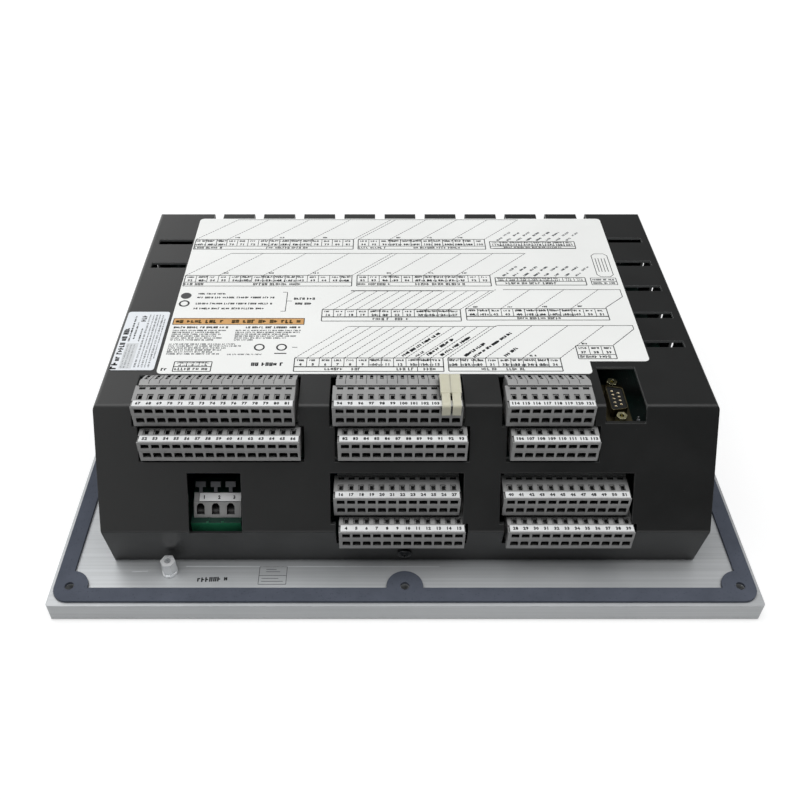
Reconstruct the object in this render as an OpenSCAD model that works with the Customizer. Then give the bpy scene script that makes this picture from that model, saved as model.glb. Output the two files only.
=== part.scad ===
/* [Bezel plate] */
// Width of the front bezel plate
plate_w = 355.6; // [345:0.1:370]
// Height of the front bezel plate
plate_h = 279.4; // [270:0.1:295]
// Thickness of the bezel plate
plate_t = 11.5; // [10:0.5:14]
// Radius of the rounding round the front edge
front_edge_r = 1; // [0.5:0.5:4]
// Radius of the plate's upright corners
plate_corner_r = 1.5; // [0.5:0.5:4]
// Distance of the mounting holes from the plate's side edges
hole_edge_x = 9.55; // [8.5:0.05:12]
// Distance of the mounting holes from the plate's long edges
hole_edge_y = 11.1; // [9:0.1:14]
// Radius of the tapped mounting holes
tap_r = 2.1; // [1.6:0.1:2.5]
// Depth of the tapped mounting holes
tap_depth = 8; // [6:0.5:9]
// Depth of the pocket milled in the plate's rear face
pocket_depth = 4.5; // [3:0.5:6]
// Depth of the recess for the keypad film in the front face
film_recess = 0.8; // [0.5:0.1:1.5]

/* [Front film and display] */
// Border of bare plate round the keypad film
film_border = 12; // [8:1:20]
// Thickness of the keypad film
film_t = 0.5; // [0.3:0.1:0.7]
// Width of the display window
window_w = 190; // [150:5:210]
// Height of the display window
window_h = 38; // [30:2:46]
// Gap between the display module and the far wall of the plate's pocket
display_gap = 2.4; // [1:0.1:6]
// Thickness of the clear window
window_t = 3; // [2:0.5:4]
// Pitch of the keys on the film
key_pitch = 30; // [26:1:34]
// Side of one square key
key_size = 20; // [14:1:24]

/* [Gasket] */
// Width of the gasket strip
gasket_w = 8; // [6:0.5:9]
// Thickness of the gasket
gasket_t = 1.5; // [1:0.25:3]
// Bare rim of plate outside the gasket
gasket_inset = 2; // [0.5:0.1:3]
// Outer corner radius of the gasket
gasket_corner_r = 8; // [4:1:12]
// Radius of the gasket's lobes round the mounting holes
lobe_r = 9.2; // [7:0.2:10]
// Radius of the holes in the gasket
gasket_hole_r = 2.3; // [2.2:0.1:4]

/* [Rear cover] */
// Height of the cover's flat rear face above the plate
cover_rise = 84.1; // [78:0.1:92]
// Thickness of the cover's sheet metal
sheet_t = 1.5; // [1:0.25:2]
// Distance of the cover's far wall from the plate's far edge
far_margin = 45.8; // [42:0.1:54]
// Distance of the cover's foot from the plate's near edge
near_margin = 28.7; // [26:0.1:34]
// How far the sloping face runs outward
slope_run = 32.2; // [27:0.1:34]
// How far the sloping face drops
slope_drop = 54.6; // [50:0.5:58]
// How far the skirt's foot is set in under the second bend
skirt_in = 6.1; // [2:0.1:9]
// Outer radius of the bends round the cover's flat face
bend_r = 2; // [1.75:0.25:3]
// Outer radius of the bends across the cover's near side
near_bend_r = 2.5; // [2:0.5:6]
// Clearance between a plug and the edge of its cut-out
cutout_gap = 1.6; // [1:0.1:2.5]
// Height of the cut-outs above the tops of the lower plugs
cutout_head = 8.5; // [6:0.5:10]

/* [Vents] */
// Pitch of the vent slots
vent_pitch = 25; // [22:0.5:27]
// Width of a vent slot
vent_w = 5.4; // [3:0.1:6]
// Length of the slots in the flat face
vent_len = 20.1; // [14:0.1:22]
// Distance from the far wall to the first vent slot
vent_first = 31.9; // [24:0.1:34]
// Number of vent slots down the right side
vents_right = 5; // [1:1:5]
// Number of vent slots down the left side
vents_left = 2; // [1:1:3]
// How far the left slots lie nearer the foot than the right ones
vents_shift = 1.9; // [0:0.1:3]
// Number of slots over the far edge
vents_far = 10; // [4:2:10]
// Length of the side wall and far wall slots
wall_vent_len = 26; // [16:1:34]

/* [Labels] */
// Bare cover between the wiring label and the cover's sides
label_side_gap = 25.95; // [24:0.05:30]
// Thickness of a label
label_t = 0.2; // [0.1:0.05:0.4]
// Bare cover between the wiring label and the far edge
label_far_gap = 7.3; // [4:0.5:10]
// Width of the notch in the wiring label's near right corner
label_notch_w = 30.4; // [28:0.2:32]
// Depth of the notch in the wiring label
label_notch_d = 9.8; // [6:0.2:14]
// Corner radius of the labels
label_r = 2.5; // [1:0.5:5]
// Width of the small label
small_label_w = 22.2; // [16:0.2:24]
// Length of the small label
small_label_len = 48.8; // [30:0.2:50]

/* [Terminal plugs] */
// Pitch of the terminal poles
pole = 5; // [4.8:0.02:5.2]
// First pole of stack A, from the cover's left side
stacks_in = 23.35; // [20:0.05:26]
// Last pole of stack A to the first pole of stack B
gap_ab = 24.5; // [18:0.5:30]
// Last pole of stack B to the first pole of stack C
gap_bc = 27.5; // [18:0.5:32]
// Last pole of stack E to the cover's right side
stacks_end = 43.35; // [38:0.05:48]
// How far the upper plugs stand out past the cover's first bend
upper_out = 6.55; // [4:0.05:7]
// Height of the upper plugs' slot row over the cover's flat face
upper_up = 2.1; // [1.5:0.1:3]
// How far the lower plugs' fronts lie in front of the upper ones
lower_step = 19.33; // [18:0.01:21]
// How far the lower stacks lie under the upper ones
lower_drop = 42.11; // [41:0.01:43]
// How far the second deck of a stack lies in front of the first
deck_step = 9.33; // [9:0.01:10]
// Clearance between the plugs of the two decks
deck_gap = 0.51; // [0.3:0.01:1.5]
// Sideways shift of the second deck
deck_shift = 2.5; // [2:0.1:3]
// Depth of a plug's body
plug_depth = 15.4; // [15:0.1:16]
// Height of a plug's top over its slot row
plug_top = 2.6; // [2.4:0.1:3]
// Depth of a plug's underside below its slot row
plug_low = 10.9; // [10.5:0.1:10.9]
// Distance from the slot row down to the wire row
wire_drop = 6.1; // [5.5:0.05:6.5]
// Width of a wire entry
wire_w = 3.9; // [3.4:0.1:3.95]
// Height of a wire entry
wire_h = 3; // [2.6:0.1:3.4]
// Width of the slots in a plug's front
slot_w = 3.8; // [3:0.1:4]
// Height of the slots in a plug's front
slot_h = 2.4; // [1.8:0.1:2.4]
// Depth of the numbered marker strips
marker_d = 3.9; // [3:0.1:4]
// Thickness of the marker strips
marker_t = 0.8; // [0.6:0.1:1]
// Side of the square contact pins
pin_w = 1; // [0.8:0.1:1.1]

/* [Operating levers] */
// Clearance between the handles of two neighbouring levers
handle_gap = 0.1; // [0.1:0.05:0.6]
// Width of a lever's leg
leg_w = 4; // [3:0.1:4]
// Length of a lever's handle
handle_len = 13.8; // [8:0.5:16]
// Poles of plug B1 that carry the first lever
lever_pole = 10; // [1:1:10]

/* [Power plug] */
// Pitch of the power poles
power_pole = 7.5; // [7:0.1:8]
// Middle power pole, from the cover's left side
power_in = 54.75; // [50:0.05:58]
// How far the power plug's front lies behind the lower plugs' fronts
power_back = 4.58; // [3.5:0.02:5]
// Height of the power plug
power_h = 8.4; // [8:0.1:9]
// Slope of the power plug's front face, back from upright
power_slope = 35; // [30:1:38]
// Width of a power wire entry
power_wire_w = 3.9; // [3.4:0.1:3.9]

/* [Data connector] */
// Data connector's centre, past the last pole of stack C
data_out = 17.8; // [16.8:0.1:20]
// Distance of the data connector's centre behind the first bend
data_y = 12.3; // [11.5:0.1:14]
// Distance between the two jackscrews
jack_span = 24.99; // [24.8:0.01:25.2]
// Width of the cut-out over the data connector
data_cut_w = 19.3; // [18.6:0.1:20]

/* [Boards] */
// Thickness of the circuit boards
board_t = 1.6; // [1.2:0.2:2]
// Clearance between a board's edge and the cover's side walls
board_gap = 4.2; // [3:0.2:6]
// Clearance between a board and the lowest plug over it
plug_over_board = 2.1; // [1.5:0.1:3]
// Radius of the board standoffs
standoff_r = 3.5; // [3:0.25:3.75]

/* [Ground stud] */
// Distance of the ground stud left of the centre line
stud_x = 119.5; // [110:0.5:130]
// Distance of the ground stud in front of the skirt's foot
stud_out = 7.8; // [7.6:0.2:10]
// Height of the ground stud
stud_h = 9; // [6:0.1:12]

/* [Hidden] */
eps = 0.1;
fit = 0.2;

// Poles of the stacks, and the cover's width round them
poles_a = 15;
poles_b = 12;
poles_c = 8;
cover_w = stacks_in + (poles_a + 2 * poles_b - 3) * pole + gap_ab + gap_bc + stacks_end;
half_w = cover_w / 2;

// Cover profile, seen from the side
far_y = plate_h / 2 - far_margin;
foot_y = near_margin - plate_h / 2;
cover_z = plate_t + cover_rise;
bend2_y = foot_y - skirt_in;
bend2_z = cover_z - slope_drop;
bend1_y = bend2_y + slope_run;
skirt_tilt = atan(skirt_in / (bend2_z - plate_t));
inner_w = cover_w - 2 * sheet_t;

// Each stack is the first pole, the number of poles, the front and the slot row of its top deck
upper_y = bend1_y - upper_out;
upper_z = cover_z + upper_up;
lower_y = upper_y - lower_step;
lower_z = upper_z - lower_drop;
deck_drop = plug_low + plug_top + deck_gap;
stack_a_x = stacks_in - half_w;
stack_b_x = stack_a_x + (poles_a - 1) * pole + gap_ab;
stack_c_x = stack_b_x + (poles_b - 1) * pole + gap_bc;
stack_a = [stack_a_x, poles_a, upper_y, upper_z];
stack_b = [stack_b_x, poles_b, upper_y, upper_z];
stack_c = [stack_c_x, poles_c, upper_y, upper_z];
stack_d = [stack_b_x, poles_b, lower_y, lower_z];
stack_e = [stack_c_x, poles_b, lower_y, lower_z];
stacks = [stack_a, stack_b, stack_c, stack_d, stack_e];
cheek_left = 1.05;
cheek_right = 0.55;

// The header behind a plug, in the plug's own coordinates
header_front = plug_depth + fit;
header_back = header_front + 14.4;
header_left = -pole / 2 + 0.4;
header_lip = 0.6;
socket_depth = 9;
pin_top = -3.6;
header_shelf = header_back - 1.55;
cut_rear = upper_y + header_back - 1.25;

// Boards lie under the lowest deck of their stacks
io_top = upper_z - deck_drop - plug_low - plug_over_board;
main_top = lower_z - deck_drop - plug_low - plug_over_board;
io_low = io_top - board_t;
main_low = main_top - board_t;
board_half = half_w - sheet_t - board_gap;
board_far = far_y - sheet_t - board_gap;
io_front = slope_y(io_low) + sheet_t + board_gap;
main_front = skirt_y(main_low) + sheet_t + board_gap;
post_x = board_half - standoff_r - 1.5;
post_in = 11;
post_y = [io_front + post_in, (io_front + board_far) / 2, board_far - post_in];
pocket_floor = plate_t - pocket_depth;
pocket_half = board_half - 1;
pocket_near = foot_y + 9;
pocket_far = board_far - 1;
module_h = window_h + 12;
window_y = pocket_far - display_gap - module_h / 2;
label_w = cover_w - 2 * label_side_gap;

// Power plug and data connector
power_x = power_in - half_w;
power_y = lower_y + power_back;
power_low = main_top + 10.4;
power_top = power_low + power_h;
power_nose = 8;
power_body = 11.6;
power_shelf = 5;
power_nose_low = 0.9;
power_nose_top = 4.1;
data_x = stack_c_x + (poles_c - 1) * pole + data_out;
data_cy = bend1_y + data_y;
flange_z = io_top + 12.9;
shell_rise = 5.9;

// Holes of the mounting pattern
hole_x = plate_w / 2 - hole_edge_x;
hole_y = plate_h / 2 - hole_edge_y;
holes = [for (sx = [-1, 0, 1], sy = [-1, 1]) [sx * hole_x, sy * hole_y]];

// Threaded blocks on the plate that the cover's screws go into
block_t = board_gap - 0.6;
block_w = 14;
block_h = 13.5;
side_blocks_y = [35, -35];
far_blocks_x = [80, -80];
dowel_r = 1.4;
dowel_len = 4;

function slope_y(z) = bend1_y - (cover_z - z) * slope_run / slope_drop;
function skirt_y(z) = foot_y - (z - plate_t) * skirt_in / (bend2_z - plate_t);
function arc(cx, cy, r, a0, a1, n = 6) =
    [for (i = [0:n]) [cx + r * cos(a0 + (a1 - a0) * i / n), cy + r * sin(a0 + (a1 - a0) * i / n)]];
function round_rect(w, h, r) = concat(
    arc(w / 2 - r, h / 2 - r, r, 0, 90),
    arc(-w / 2 + r, h / 2 - r, r, 90, 180),
    arc(-w / 2 + r, -h / 2 + r, r, 180, 270),
    arc(w / 2 - r, -h / 2 + r, r, 270, 360)
);
// Profile of a plate with a rounded front edge, across one of its sides
function edge_profile(w, t, r) = concat(
    arc(-w / 2 + r, r, r, 180, 270),
    arc(w / 2 - r, r, r, 270, 360),
    [[w / 2, t], [-w / 2, t]]
);

// Extrudes a side profile, drawn as y and z, along x
module along_x(x0, len) {
    translate([x0, 0, 0]) rotate([90, 0, 90]) linear_extrude(len) children();
}

// Extrudes a front profile, drawn as x and z, from y0 towards the rear
module along_y(y0, len) {
    translate([0, y0 + len, 0]) rotate([90, 0, 0]) linear_extrude(len) children();
}

module block(x, y, z) {
    translate([x[0], y[0], z[0]]) cube([x[1] - x[0], y[1] - y[0], z[1] - z[0]]);
}

// Places a child at the first pole, front face and slot row of one deck of a stack
module at_deck(stack, deck) {
    translate([stack[0] + deck * deck_shift, stack[2] - deck * deck_step, stack[3] - deck * deck_drop])
        children();
}

module at_posts() {
    for (sx = [-1, 1], y = post_y)
        translate([sx * post_x, y, 0]) children();
}

/* Bezel plate and front */

module bezel_plate() {
    color("silver")
    difference() {
        intersection() {
            along_y(-plate_h / 2, plate_h) polygon(edge_profile(plate_w, plate_t, front_edge_r));
            along_x(-plate_w / 2, plate_w) polygon(edge_profile(plate_h, plate_t, front_edge_r));
            linear_extrude(plate_t) polygon(round_rect(plate_w, plate_h, plate_corner_r));
        }
        translate([0, 0, -eps])
            linear_extrude(film_recess + eps)
            polygon(round_rect(plate_w - 2 * film_border, plate_h - 2 * film_border, 4));
        block([-pocket_half, pocket_half], [pocket_near, pocket_far], [pocket_floor, plate_t + eps]);
        translate([0, window_y, 0]) {
            translate([0, 0, -eps]) linear_extrude(plate_t) polygon(round_rect(window_w, window_h, 2));
            translate([0, 0, pocket_floor - window_t])
                linear_extrude(plate_t)
                polygon(round_rect(window_w + 8, window_h + 8, 2));
        }
        for (h = holes)
            translate([h[0], h[1], plate_t - tap_depth]) cylinder(h = tap_depth + eps, r = tap_r, $fn = 32);
        at_blocks()
            translate([0, block_t / 2, -dowel_len - 0.5])
            cylinder(h = dowel_len + 0.5 + eps, r = dowel_r + 0.05, $fn = 24);
    }
}

// Places a child on the plate where each block stands, with y pointing inward from the cover's wall
module at_blocks() {
    for (sx = [-1, 1], y = side_blocks_y)
        translate([sx * (inner_w / 2 - fit), y, plate_t]) rotate([0, 0, sx * 90]) children();
    for (x = far_blocks_x)
        translate([x, far_y - sheet_t - fit, plate_t]) rotate([0, 0, 180]) children();
    translate([0, foot_y + sheet_t + fit, plate_t]) children();
}

// Threaded blocks with a dowel under each, the near one leaning with the skirt
module cover_blocks() {
    color("gainsboro")
    difference() {
        union() {
            at_blocks() translate([0, block_t / 2, -dowel_len]) cylinder(h = dowel_len + 1, r = dowel_r, $fn = 24);
            for (sx = [-1, 1], y = side_blocks_y)
                translate([sx * (inner_w / 2 - fit - block_t / 2), y, plate_t + block_h / 2])
                    cube([block_t, block_w, block_h], center = true);
            for (x = far_blocks_x)
                translate([x, far_y - sheet_t - fit - block_t / 2, plate_t + block_h / 2])
                    cube([block_w, block_t, block_h], center = true);
            near_block();
        }
        at_cover_screws() translate([0, 0, -sheet_t - block_t - 1]) cylinder(h = 6, r = 1.5, $fn = 24);
    }
}

module near_block() {
    y0 = foot_y + sheet_t + fit;
    lean = skirt_y(plate_t + block_h) - foot_y;
    along_x(-block_w / 2, block_w) polygon([
        [y0, plate_t], [y0 + block_t, plate_t],
        [y0 + block_t + lean, plate_t + block_h], [y0 + lean, plate_t + block_h]
    ]);
}

// Places a child at each cover screw, with z pointing out of the cover
module at_cover_screws() {
    for (sx = [-1, 1], y = side_blocks_y)
        translate([sx * half_w, y, plate_t + 8]) rotate([0, sx * 90, 0]) children();
    for (x = far_blocks_x)
        translate([x, far_y, plate_t + 8]) rotate([-90, 0, 0]) children();
    translate([0, skirt_y(plate_t + 8), plate_t + 8]) rotate([90 + skirt_tilt, 0, 0]) children();
}

module cover_screws() {
    color("gainsboro")
    at_cover_screws() {
        difference() {
            intersection() {
                cylinder(h = 2.2, r = 3.6, $fn = 32);
                translate([0, 0, -4.4]) sphere(r = 6.6, $fn = 48);
            }
            for (a = [0, 90])
                rotate([0, 0, a]) translate([-2, -0.4, 1.2]) cube([4, 0.8, 2]);
        }
        translate([0, 0, -sheet_t - block_t]) cylinder(h = sheet_t + block_t, r = 1.45, $fn = 24);
    }
}

module keypad_film() {
    film_top = film_recess;
    keys_y = window_y - window_h / 2 - key_size / 2 - 17;
    color("dimgray")
    difference() {
        union() {
            translate([0, 0, film_top - film_t])
                linear_extrude(film_t)
                polygon(round_rect(plate_w - 2 * film_border - 0.6, plate_h - 2 * film_border - 0.6, 3.7));
            for (i = [-4:4], j = [0:3])
                translate([i * key_pitch, keys_y - j * key_pitch, film_top - film_t - 0.15])
                    linear_extrude(0.15 + film_t / 2)
                    polygon(round_rect(key_size, key_size, 2));
        }
        translate([0, window_y, -eps])
            linear_extrude(plate_t)
            polygon(round_rect(window_w - 6, window_h - 6, 2));
    }
}

module display_window() {
    color([0.6, 0.7, 0.75, 0.5])
    translate([0, window_y, pocket_floor - window_t])
        linear_extrude(window_t)
        polygon(round_rect(window_w + 7.6, window_h + 7.6, 1.8));
}

module display_module() {
    color("darkslategray")
    translate([0, window_y, pocket_floor]) {
        difference() {
            linear_extrude(7) polygon(round_rect(window_w + 14, module_h, 1));
            translate([0, 0, -eps]) linear_extrude(1.6) polygon(round_rect(window_w - 2, window_h - 4, 1));
        }
    }
}

module keypad_board() {
    color("darkgreen")
    block([standoff_r + 1.5 - post_x, post_x - standoff_r - 1.5], [pocket_near + 22, window_y - module_h / 2 - 4],
        [pocket_floor, pocket_floor + board_t]);
}

/* Gasket */

module panel_gasket() {
    outer_w = plate_w - 2 * gasket_inset;
    outer_h = plate_h - 2 * gasket_inset;
    color("slategray")
    translate([0, 0, plate_t])
    difference() {
        intersection() {
            linear_extrude(gasket_t) polygon(round_rect(outer_w, outer_h, gasket_corner_r));
            union() {
                difference() {
                    linear_extrude(gasket_t) square([outer_w, outer_h], center = true);
                    translate([0, 0, -eps])
                        linear_extrude(gasket_t + 2 * eps)
                        square([outer_w - 2 * gasket_w, outer_h - 2 * gasket_w], center = true);
                }
                for (h = holes)
                    translate([h[0], h[1], 0]) cylinder(h = gasket_t, r = lobe_r, $fn = 48);
            }
        }
        for (h = holes)
            translate([h[0], h[1], -eps]) cylinder(h = gasket_t + 2 * eps, r = gasket_hole_r, $fn = 32);
    }
}

/* Rear cover */

function unit(v) = v / norm(v);
// Inward normal of the edge from p to q of an outline drawn anticlockwise
function inward(p, q) = let (u = unit(q - p)) [-u[1], u[0]];
// Corner q of the outline p, q, s, moved in by t from both of its edges
function inset(p, q, s, t) = let (a = inward(p, q), b = inward(q, s)) q + t * (a + b) / (1 + a * b);
// Rounds the corner q between p and s
function bend(p, q, s, r, n = 5) = let (
    u = unit(p - q),
    v = unit(s - q),
    half = acos(u * v) / 2,
    c = q + unit(u + v) * r / sin(half),
    a = c + inward(p, q) * -r,
    a0 = atan2(a[1] - c[1], a[0] - c[0])
) arc(c[0], c[1], r, a0, a0 + 180 - 2 * half, n);

// Outline of the folded cover from the side, moved in by t from the outer surface
function cover_outline(t, low) = let (
    p = [[far_y, low], [far_y, cover_z], [bend1_y, cover_z], [bend2_y, bend2_z], [foot_y, plate_t]],
    far_foot = [far_y - t, low],
    far_top = inset(p[0], p[1], p[2], t),
    near_top = inset(p[1], p[2], p[3], t),
    near_mid = inset(p[2], p[3], p[4], t),
    near_foot = near_mid + (near_mid - inset(p[3], p[4], p[4] + (p[4] - p[3]), t)) * (low - near_mid[1])
        / (near_mid[1] - plate_t)
) concat(
    [far_foot],
    bend(far_foot, far_top, near_top, bend_r - t),
    bend(far_top, near_top, near_mid, near_bend_r - t),
    bend(near_top, near_mid, near_foot, near_bend_r - t),
    [near_foot]
);

module cover_shell() {
    difference() {
        intersection() {
            along_x(-half_w, cover_w) polygon(cover_outline(0, plate_t));
            along_y(bend2_y - 1, far_y - bend2_y + 2)
                polygon(concat(
                    [[-half_w, plate_t]],
                    [[half_w, plate_t]],
                    arc(half_w - bend_r, cover_z - bend_r, bend_r, 0, 90, 4),
                    arc(-half_w + bend_r, cover_z - bend_r, bend_r, 90, 180, 4)
                ));
        }
        along_x(-inner_w / 2, inner_w) polygon(cover_outline(sheet_t, plate_t - 1));
    }
}

// Stepped cut-out that two decks of plugs come through
module stack_cutout(stack, rear, head) {
    left = -pole / 2 - cheek_left - cutout_gap;
    width = stack[1] * pole + cheek_left + cheek_right + 2 * cutout_gap;
    at_deck(stack, 0)
        block([left, left + width], [-25, rear - stack[2]], [-plug_low - 0.4, head]);
    at_deck(stack, 1)
        block([left, left + width], [-25, rear - stack[2]], [-plug_low - 1.4, deck_drop - plug_low]);
}

module power_cutout() {
    half = 1.5 * power_pole;
    block([power_x - half - 0.1, power_x + half + 3.4], [bend2_y - 5, bend2_y + 25],
        [bend2_z - 1.6, lower_z + plug_top + cutout_head]);
}

module data_cutout() {
    block([data_x - 8.5, data_x - 8.5 + data_cut_w],
        [bend2_y, data_cy + jack_span / 2 + 3.6], [flange_z + 4.3, cover_z + 5]);
}

module vents() {
    vent_x = label_w / 2 + 0.7;
    for (i = [0:vents_right - 1])
        translate([vent_x, far_y - vent_first - i * vent_pitch - vent_w / 2, cover_z - 5])
            cube([vent_len, vent_w, 10]);
    for (i = [0:vents_left - 1])
        translate([-vent_x - vent_len, far_y - vent_first - vents_shift - i * vent_pitch - vent_w / 2, cover_z - 5])
            cube([vent_len, vent_w, 10]);
    for (sx = [-1, 1], i = [0:4])
        translate([sx * half_w, far_y - vent_first - i * vent_pitch, cover_z - 10 - wall_vent_len / 2])
            cube([10, vent_w, wall_vent_len], center = true);
    for (i = [0:vents_far - 1])
        translate([(i - (vents_far - 1) / 2) * vent_pitch, far_y - label_far_gap - 0.5, cover_z - wall_vent_len])
            translate([-vent_w / 2 - 0.25, 0, 0]) cube([vent_w + 0.5, 20, wall_vent_len + 5]);
}

module rear_cover() {
    color([0.16, 0.17, 0.17])
    difference() {
        cover_shell();
        for (s = [stack_a, stack_b, stack_c])
            stack_cutout(s, cut_rear, 20);
        for (s = [stack_d, stack_e])
            stack_cutout(s, s[2] + header_back, plug_top + cutout_head);
        power_cutout();
        data_cutout();
        vents();
        at_cover_screws() translate([0, 0, -4]) cylinder(h = 8, r = 1.8, $fn = 24);
    }
}

/* Labels */

module wiring_label() {
    w = label_w / 2;
    y0 = cut_rear + 0.7;
    y1 = far_y - label_far_gap;
    r = label_r;
    nx = w - label_notch_w;
    color("whitesmoke")
    translate([0, 0, cover_z])
        linear_extrude(label_t)
        polygon(concat(
            arc(-w + r, y0 + r, r, 180, 270, 4),
            arc(nx - r, y0 + r, r, 270, 360, 4),
            [[nx, y0 + label_notch_d]],
            arc(w - r, y0 + label_notch_d + r, r, 270, 360, 4),
            arc(w - r, y1 - r, r, 0, 90, 4),
            arc(-w + r, y1 - r, r, 90, 180, 4)
        ));
}

module serial_label() {
    color("whitesmoke")
    translate([-label_w / 2 - 1.7 - small_label_w / 2, cut_rear + 3.5 + small_label_len / 2, cover_z])
        linear_extrude(label_t)
        polygon(round_rect(small_label_w, small_label_len, 1.5));
}

module ground_standoff() {
    color("gainsboro")
    translate([-stud_x, foot_y - stud_out, plate_t])
        difference() {
            union() {
                cylinder(h = stud_h, r = 3.9, $fn = 6);
                cylinder(h = 1.2, r = 4, $fn = 32);
            }
            translate([0, 0, 1.5]) cylinder(h = stud_h, r = 1.65, $fn = 24);
        }
}

/* Terminal plugs, drawn with the first pole, the front face and the slot row at the origin */

chamber_back = 12;
chamber_low = -8.6;
chamber_top = 1.1;
nose_top = -1.6;
nose_low = -9.2;
socket_low = -5.2;

module plug(n) {
    groove_low = plug_top - 0.5;
    color("lightgray")
    difference() {
        union() {
            along_x(-pole / 2 - cheek_left, n * pole + cheek_left + cheek_right) polygon([
                [0, plug_top - 0.1],
                [0, -3],
                [0.3, -3.3],
                [0.3, -plug_low + 1],
                [1.2, -plug_low],
                [plug_depth, -plug_low],
                [plug_depth, plug_top],
                [0.5 + marker_d, plug_top],
                [0.5 + marker_d, groove_low],
                [0.4, groove_low],
                [0.4, plug_top]
            ]);
            along_x(header_left + 0.8, n * pole - pole / 2 - header_left - 1.2)
                polygon([
                    [plug_depth - 1, nose_low],
                    [plug_depth + socket_depth, nose_low],
                    [plug_depth + socket_depth, nose_top],
                    [plug_depth - 1, nose_top]
                ]);
        }
        for (i = [0:n - 1])
            translate([i * pole, 0, 0]) pole_cuts();
    }
}

// What is open in one pole: front slot, spring chamber, pin socket, wire entry and tool slots
module pole_cuts() {
    along_x(-slot_w / 2, slot_w) polygon([
        [-eps, slot_h / 2], [chamber_back, slot_h / 2],
        [chamber_back, chamber_low], [2, chamber_low],
        [2, -slot_h / 2], [-eps, -slot_h / 2]
    ]);
    block([-0.8, 0.8], [chamber_back - 1, plug_depth + socket_depth + eps], [socket_low, pin_top + 0.4]);
    along_y(-eps, 2.2) polygon(concat(
        [[-wire_w / 2, -wire_drop - wire_h / 2], [wire_w / 2, -wire_drop - wire_h / 2]],
        arc(wire_w / 2 - 0.6, -wire_drop + wire_h / 2 - 0.6, 0.6, 0, 90, 3),
        arc(-wire_w / 2 + 0.6, -wire_drop + wire_h / 2 - 0.6, 0.6, 90, 180, 3)
    ));
    block([-1.6, 1.2], [5.4, 9.2], [plug_top - 0.35, plug_top + eps]);
    block([-0.9, 0.9], [5.8, 8.6], [0.9, plug_top]);
    block([-1.5, 1.5], [12.5, 14.1], [plug_top - 0.9, plug_top + eps]);
}

module clamp_springs() {
    color("silver")
    for (s = stacks, d = [0, 1])
        at_deck(s, d)
            for (i = [0:s[1] - 1])
                translate([i * pole, 0, 0])
                    along_x(-1.5, 3) polygon([
                        [6, chamber_low], [6, 0.2], [6.4, 0.6], [10.6, 0.6], [11.3, -2.6],
                        [10.8, -2.7], [10.2, 0.1], [6.5, 0.1], [6.5, chamber_low]
                    ]);
}

module contact_bars() {
    color("tan")
    for (s = stacks, d = [0, 1])
        at_deck(s, d)
            for (i = [0:s[1] - 1])
                translate([i * pole, 0, 0])
                    block([-0.75, 0.75], [7.2, plug_depth + socket_depth - 0.6], [socket_low, pin_top - pin_w]);
}

module marker_strips() {
    color("white") {
        for (s = stacks, d = [0, 1])
            at_deck(s, d)
                block([-pole / 2 - 0.2, s[1] * pole - pole / 2 + 0.1], [0.45, 0.45 + marker_d],
                    [plug_top - 0.5, plug_top - 0.5 + marker_t]);
        translate([power_x, power_y + (power_h - 1.9) * tan(power_slope), power_low + power_h - 1.9])
            along_x(-1.5 * power_pole + 3.2, 3 * power_pole - 1.8)
            polygon([[0.45, 0.04], [4.25, 1.9], [4.05, 2.3], [0.25, 0.4]]);
    }
}

/* Board headers, one moulding for the two decks of a stack */

// Side profile of one pole's bent pin, from its tip in the plug down through the board
module pin_profile(leg_y, low) {
    polygon([
        [plug_depth - 1, pin_top - pin_w], [leg_y, pin_top - pin_w], [leg_y, low],
        [leg_y + pin_w, low], [leg_y + pin_w, pin_top], [plug_depth - 1, pin_top]
    ]);
}

module stack_pins(stack, grow) {
    board_low = (stack[3] > main_top + lower_drop ? io_low : main_low) - 1.5;
    for (d = [0, 1])
        at_deck(stack, d)
            for (i = [0:stack[1] - 1])
                translate([i * pole, 0, 0])
                    along_x(-pin_w / 2 - grow, pin_w + 2 * grow)
                    pin_profile(header_back - 2.5, board_low - stack[3] + d * deck_drop);
}

module header(stack) {
    n = stack[1];
    width = n * pole + 0.1;
    board_top = stack[3] > main_top + lower_drop ? io_top : main_top;
    color("silver")
    difference() {
        union() {
            at_deck(stack, 0)
                along_x(header_left, width) polygon([
                    [header_front, -plug_low], [header_back, -plug_low],
                    [header_back, -upper_up - sheet_t - 0.8], [header_shelf, -upper_up - sheet_t - 0.8],
                    [header_shelf, -2], [header_front + 3, plug_top + header_lip],
                    [header_front - 0.7, plug_top + header_lip], [header_front - 0.7, plug_top + 0.05],
                    [header_front, plug_top + 0.05]
                ]);
            at_deck(stack, 1)
                block([header_left, header_left + width], [header_front, header_back], [-plug_low, plug_top]);
            block([stack[0] + header_left + deck_shift, stack[0] + header_left + width],
                [stack[2] + header_back - deck_step - 0.5, stack[2] + header_back],
                [board_top, stack[3] - plug_low + 0.1]);
            block([stack[0] + header_left + deck_shift, stack[0] + header_left + width],
                [stack[2] - 2 * deck_step + header_back, stack[2] - deck_step + header_back],
                [board_top, stack[3] - deck_drop - plug_low + 0.1]);
        }
        for (d = [0, 1])
            at_deck(stack, d)
                block([header_left + 0.6, n * pole - pole / 2 - 0.2],
                    [header_front - eps, header_front + socket_depth + 0.3], [nose_low - fit, nose_top + fit]);
        at_deck(stack, 0) {
            for (i = [0:n - 1])
                translate([i * pole, 0, 0]) header_slot();
            for (i = [1:n - 1])
                translate([(i - 0.5) * pole, 0, 0]) header_seam();
        }
        stack_pins(stack, 0);
    }
}

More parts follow.
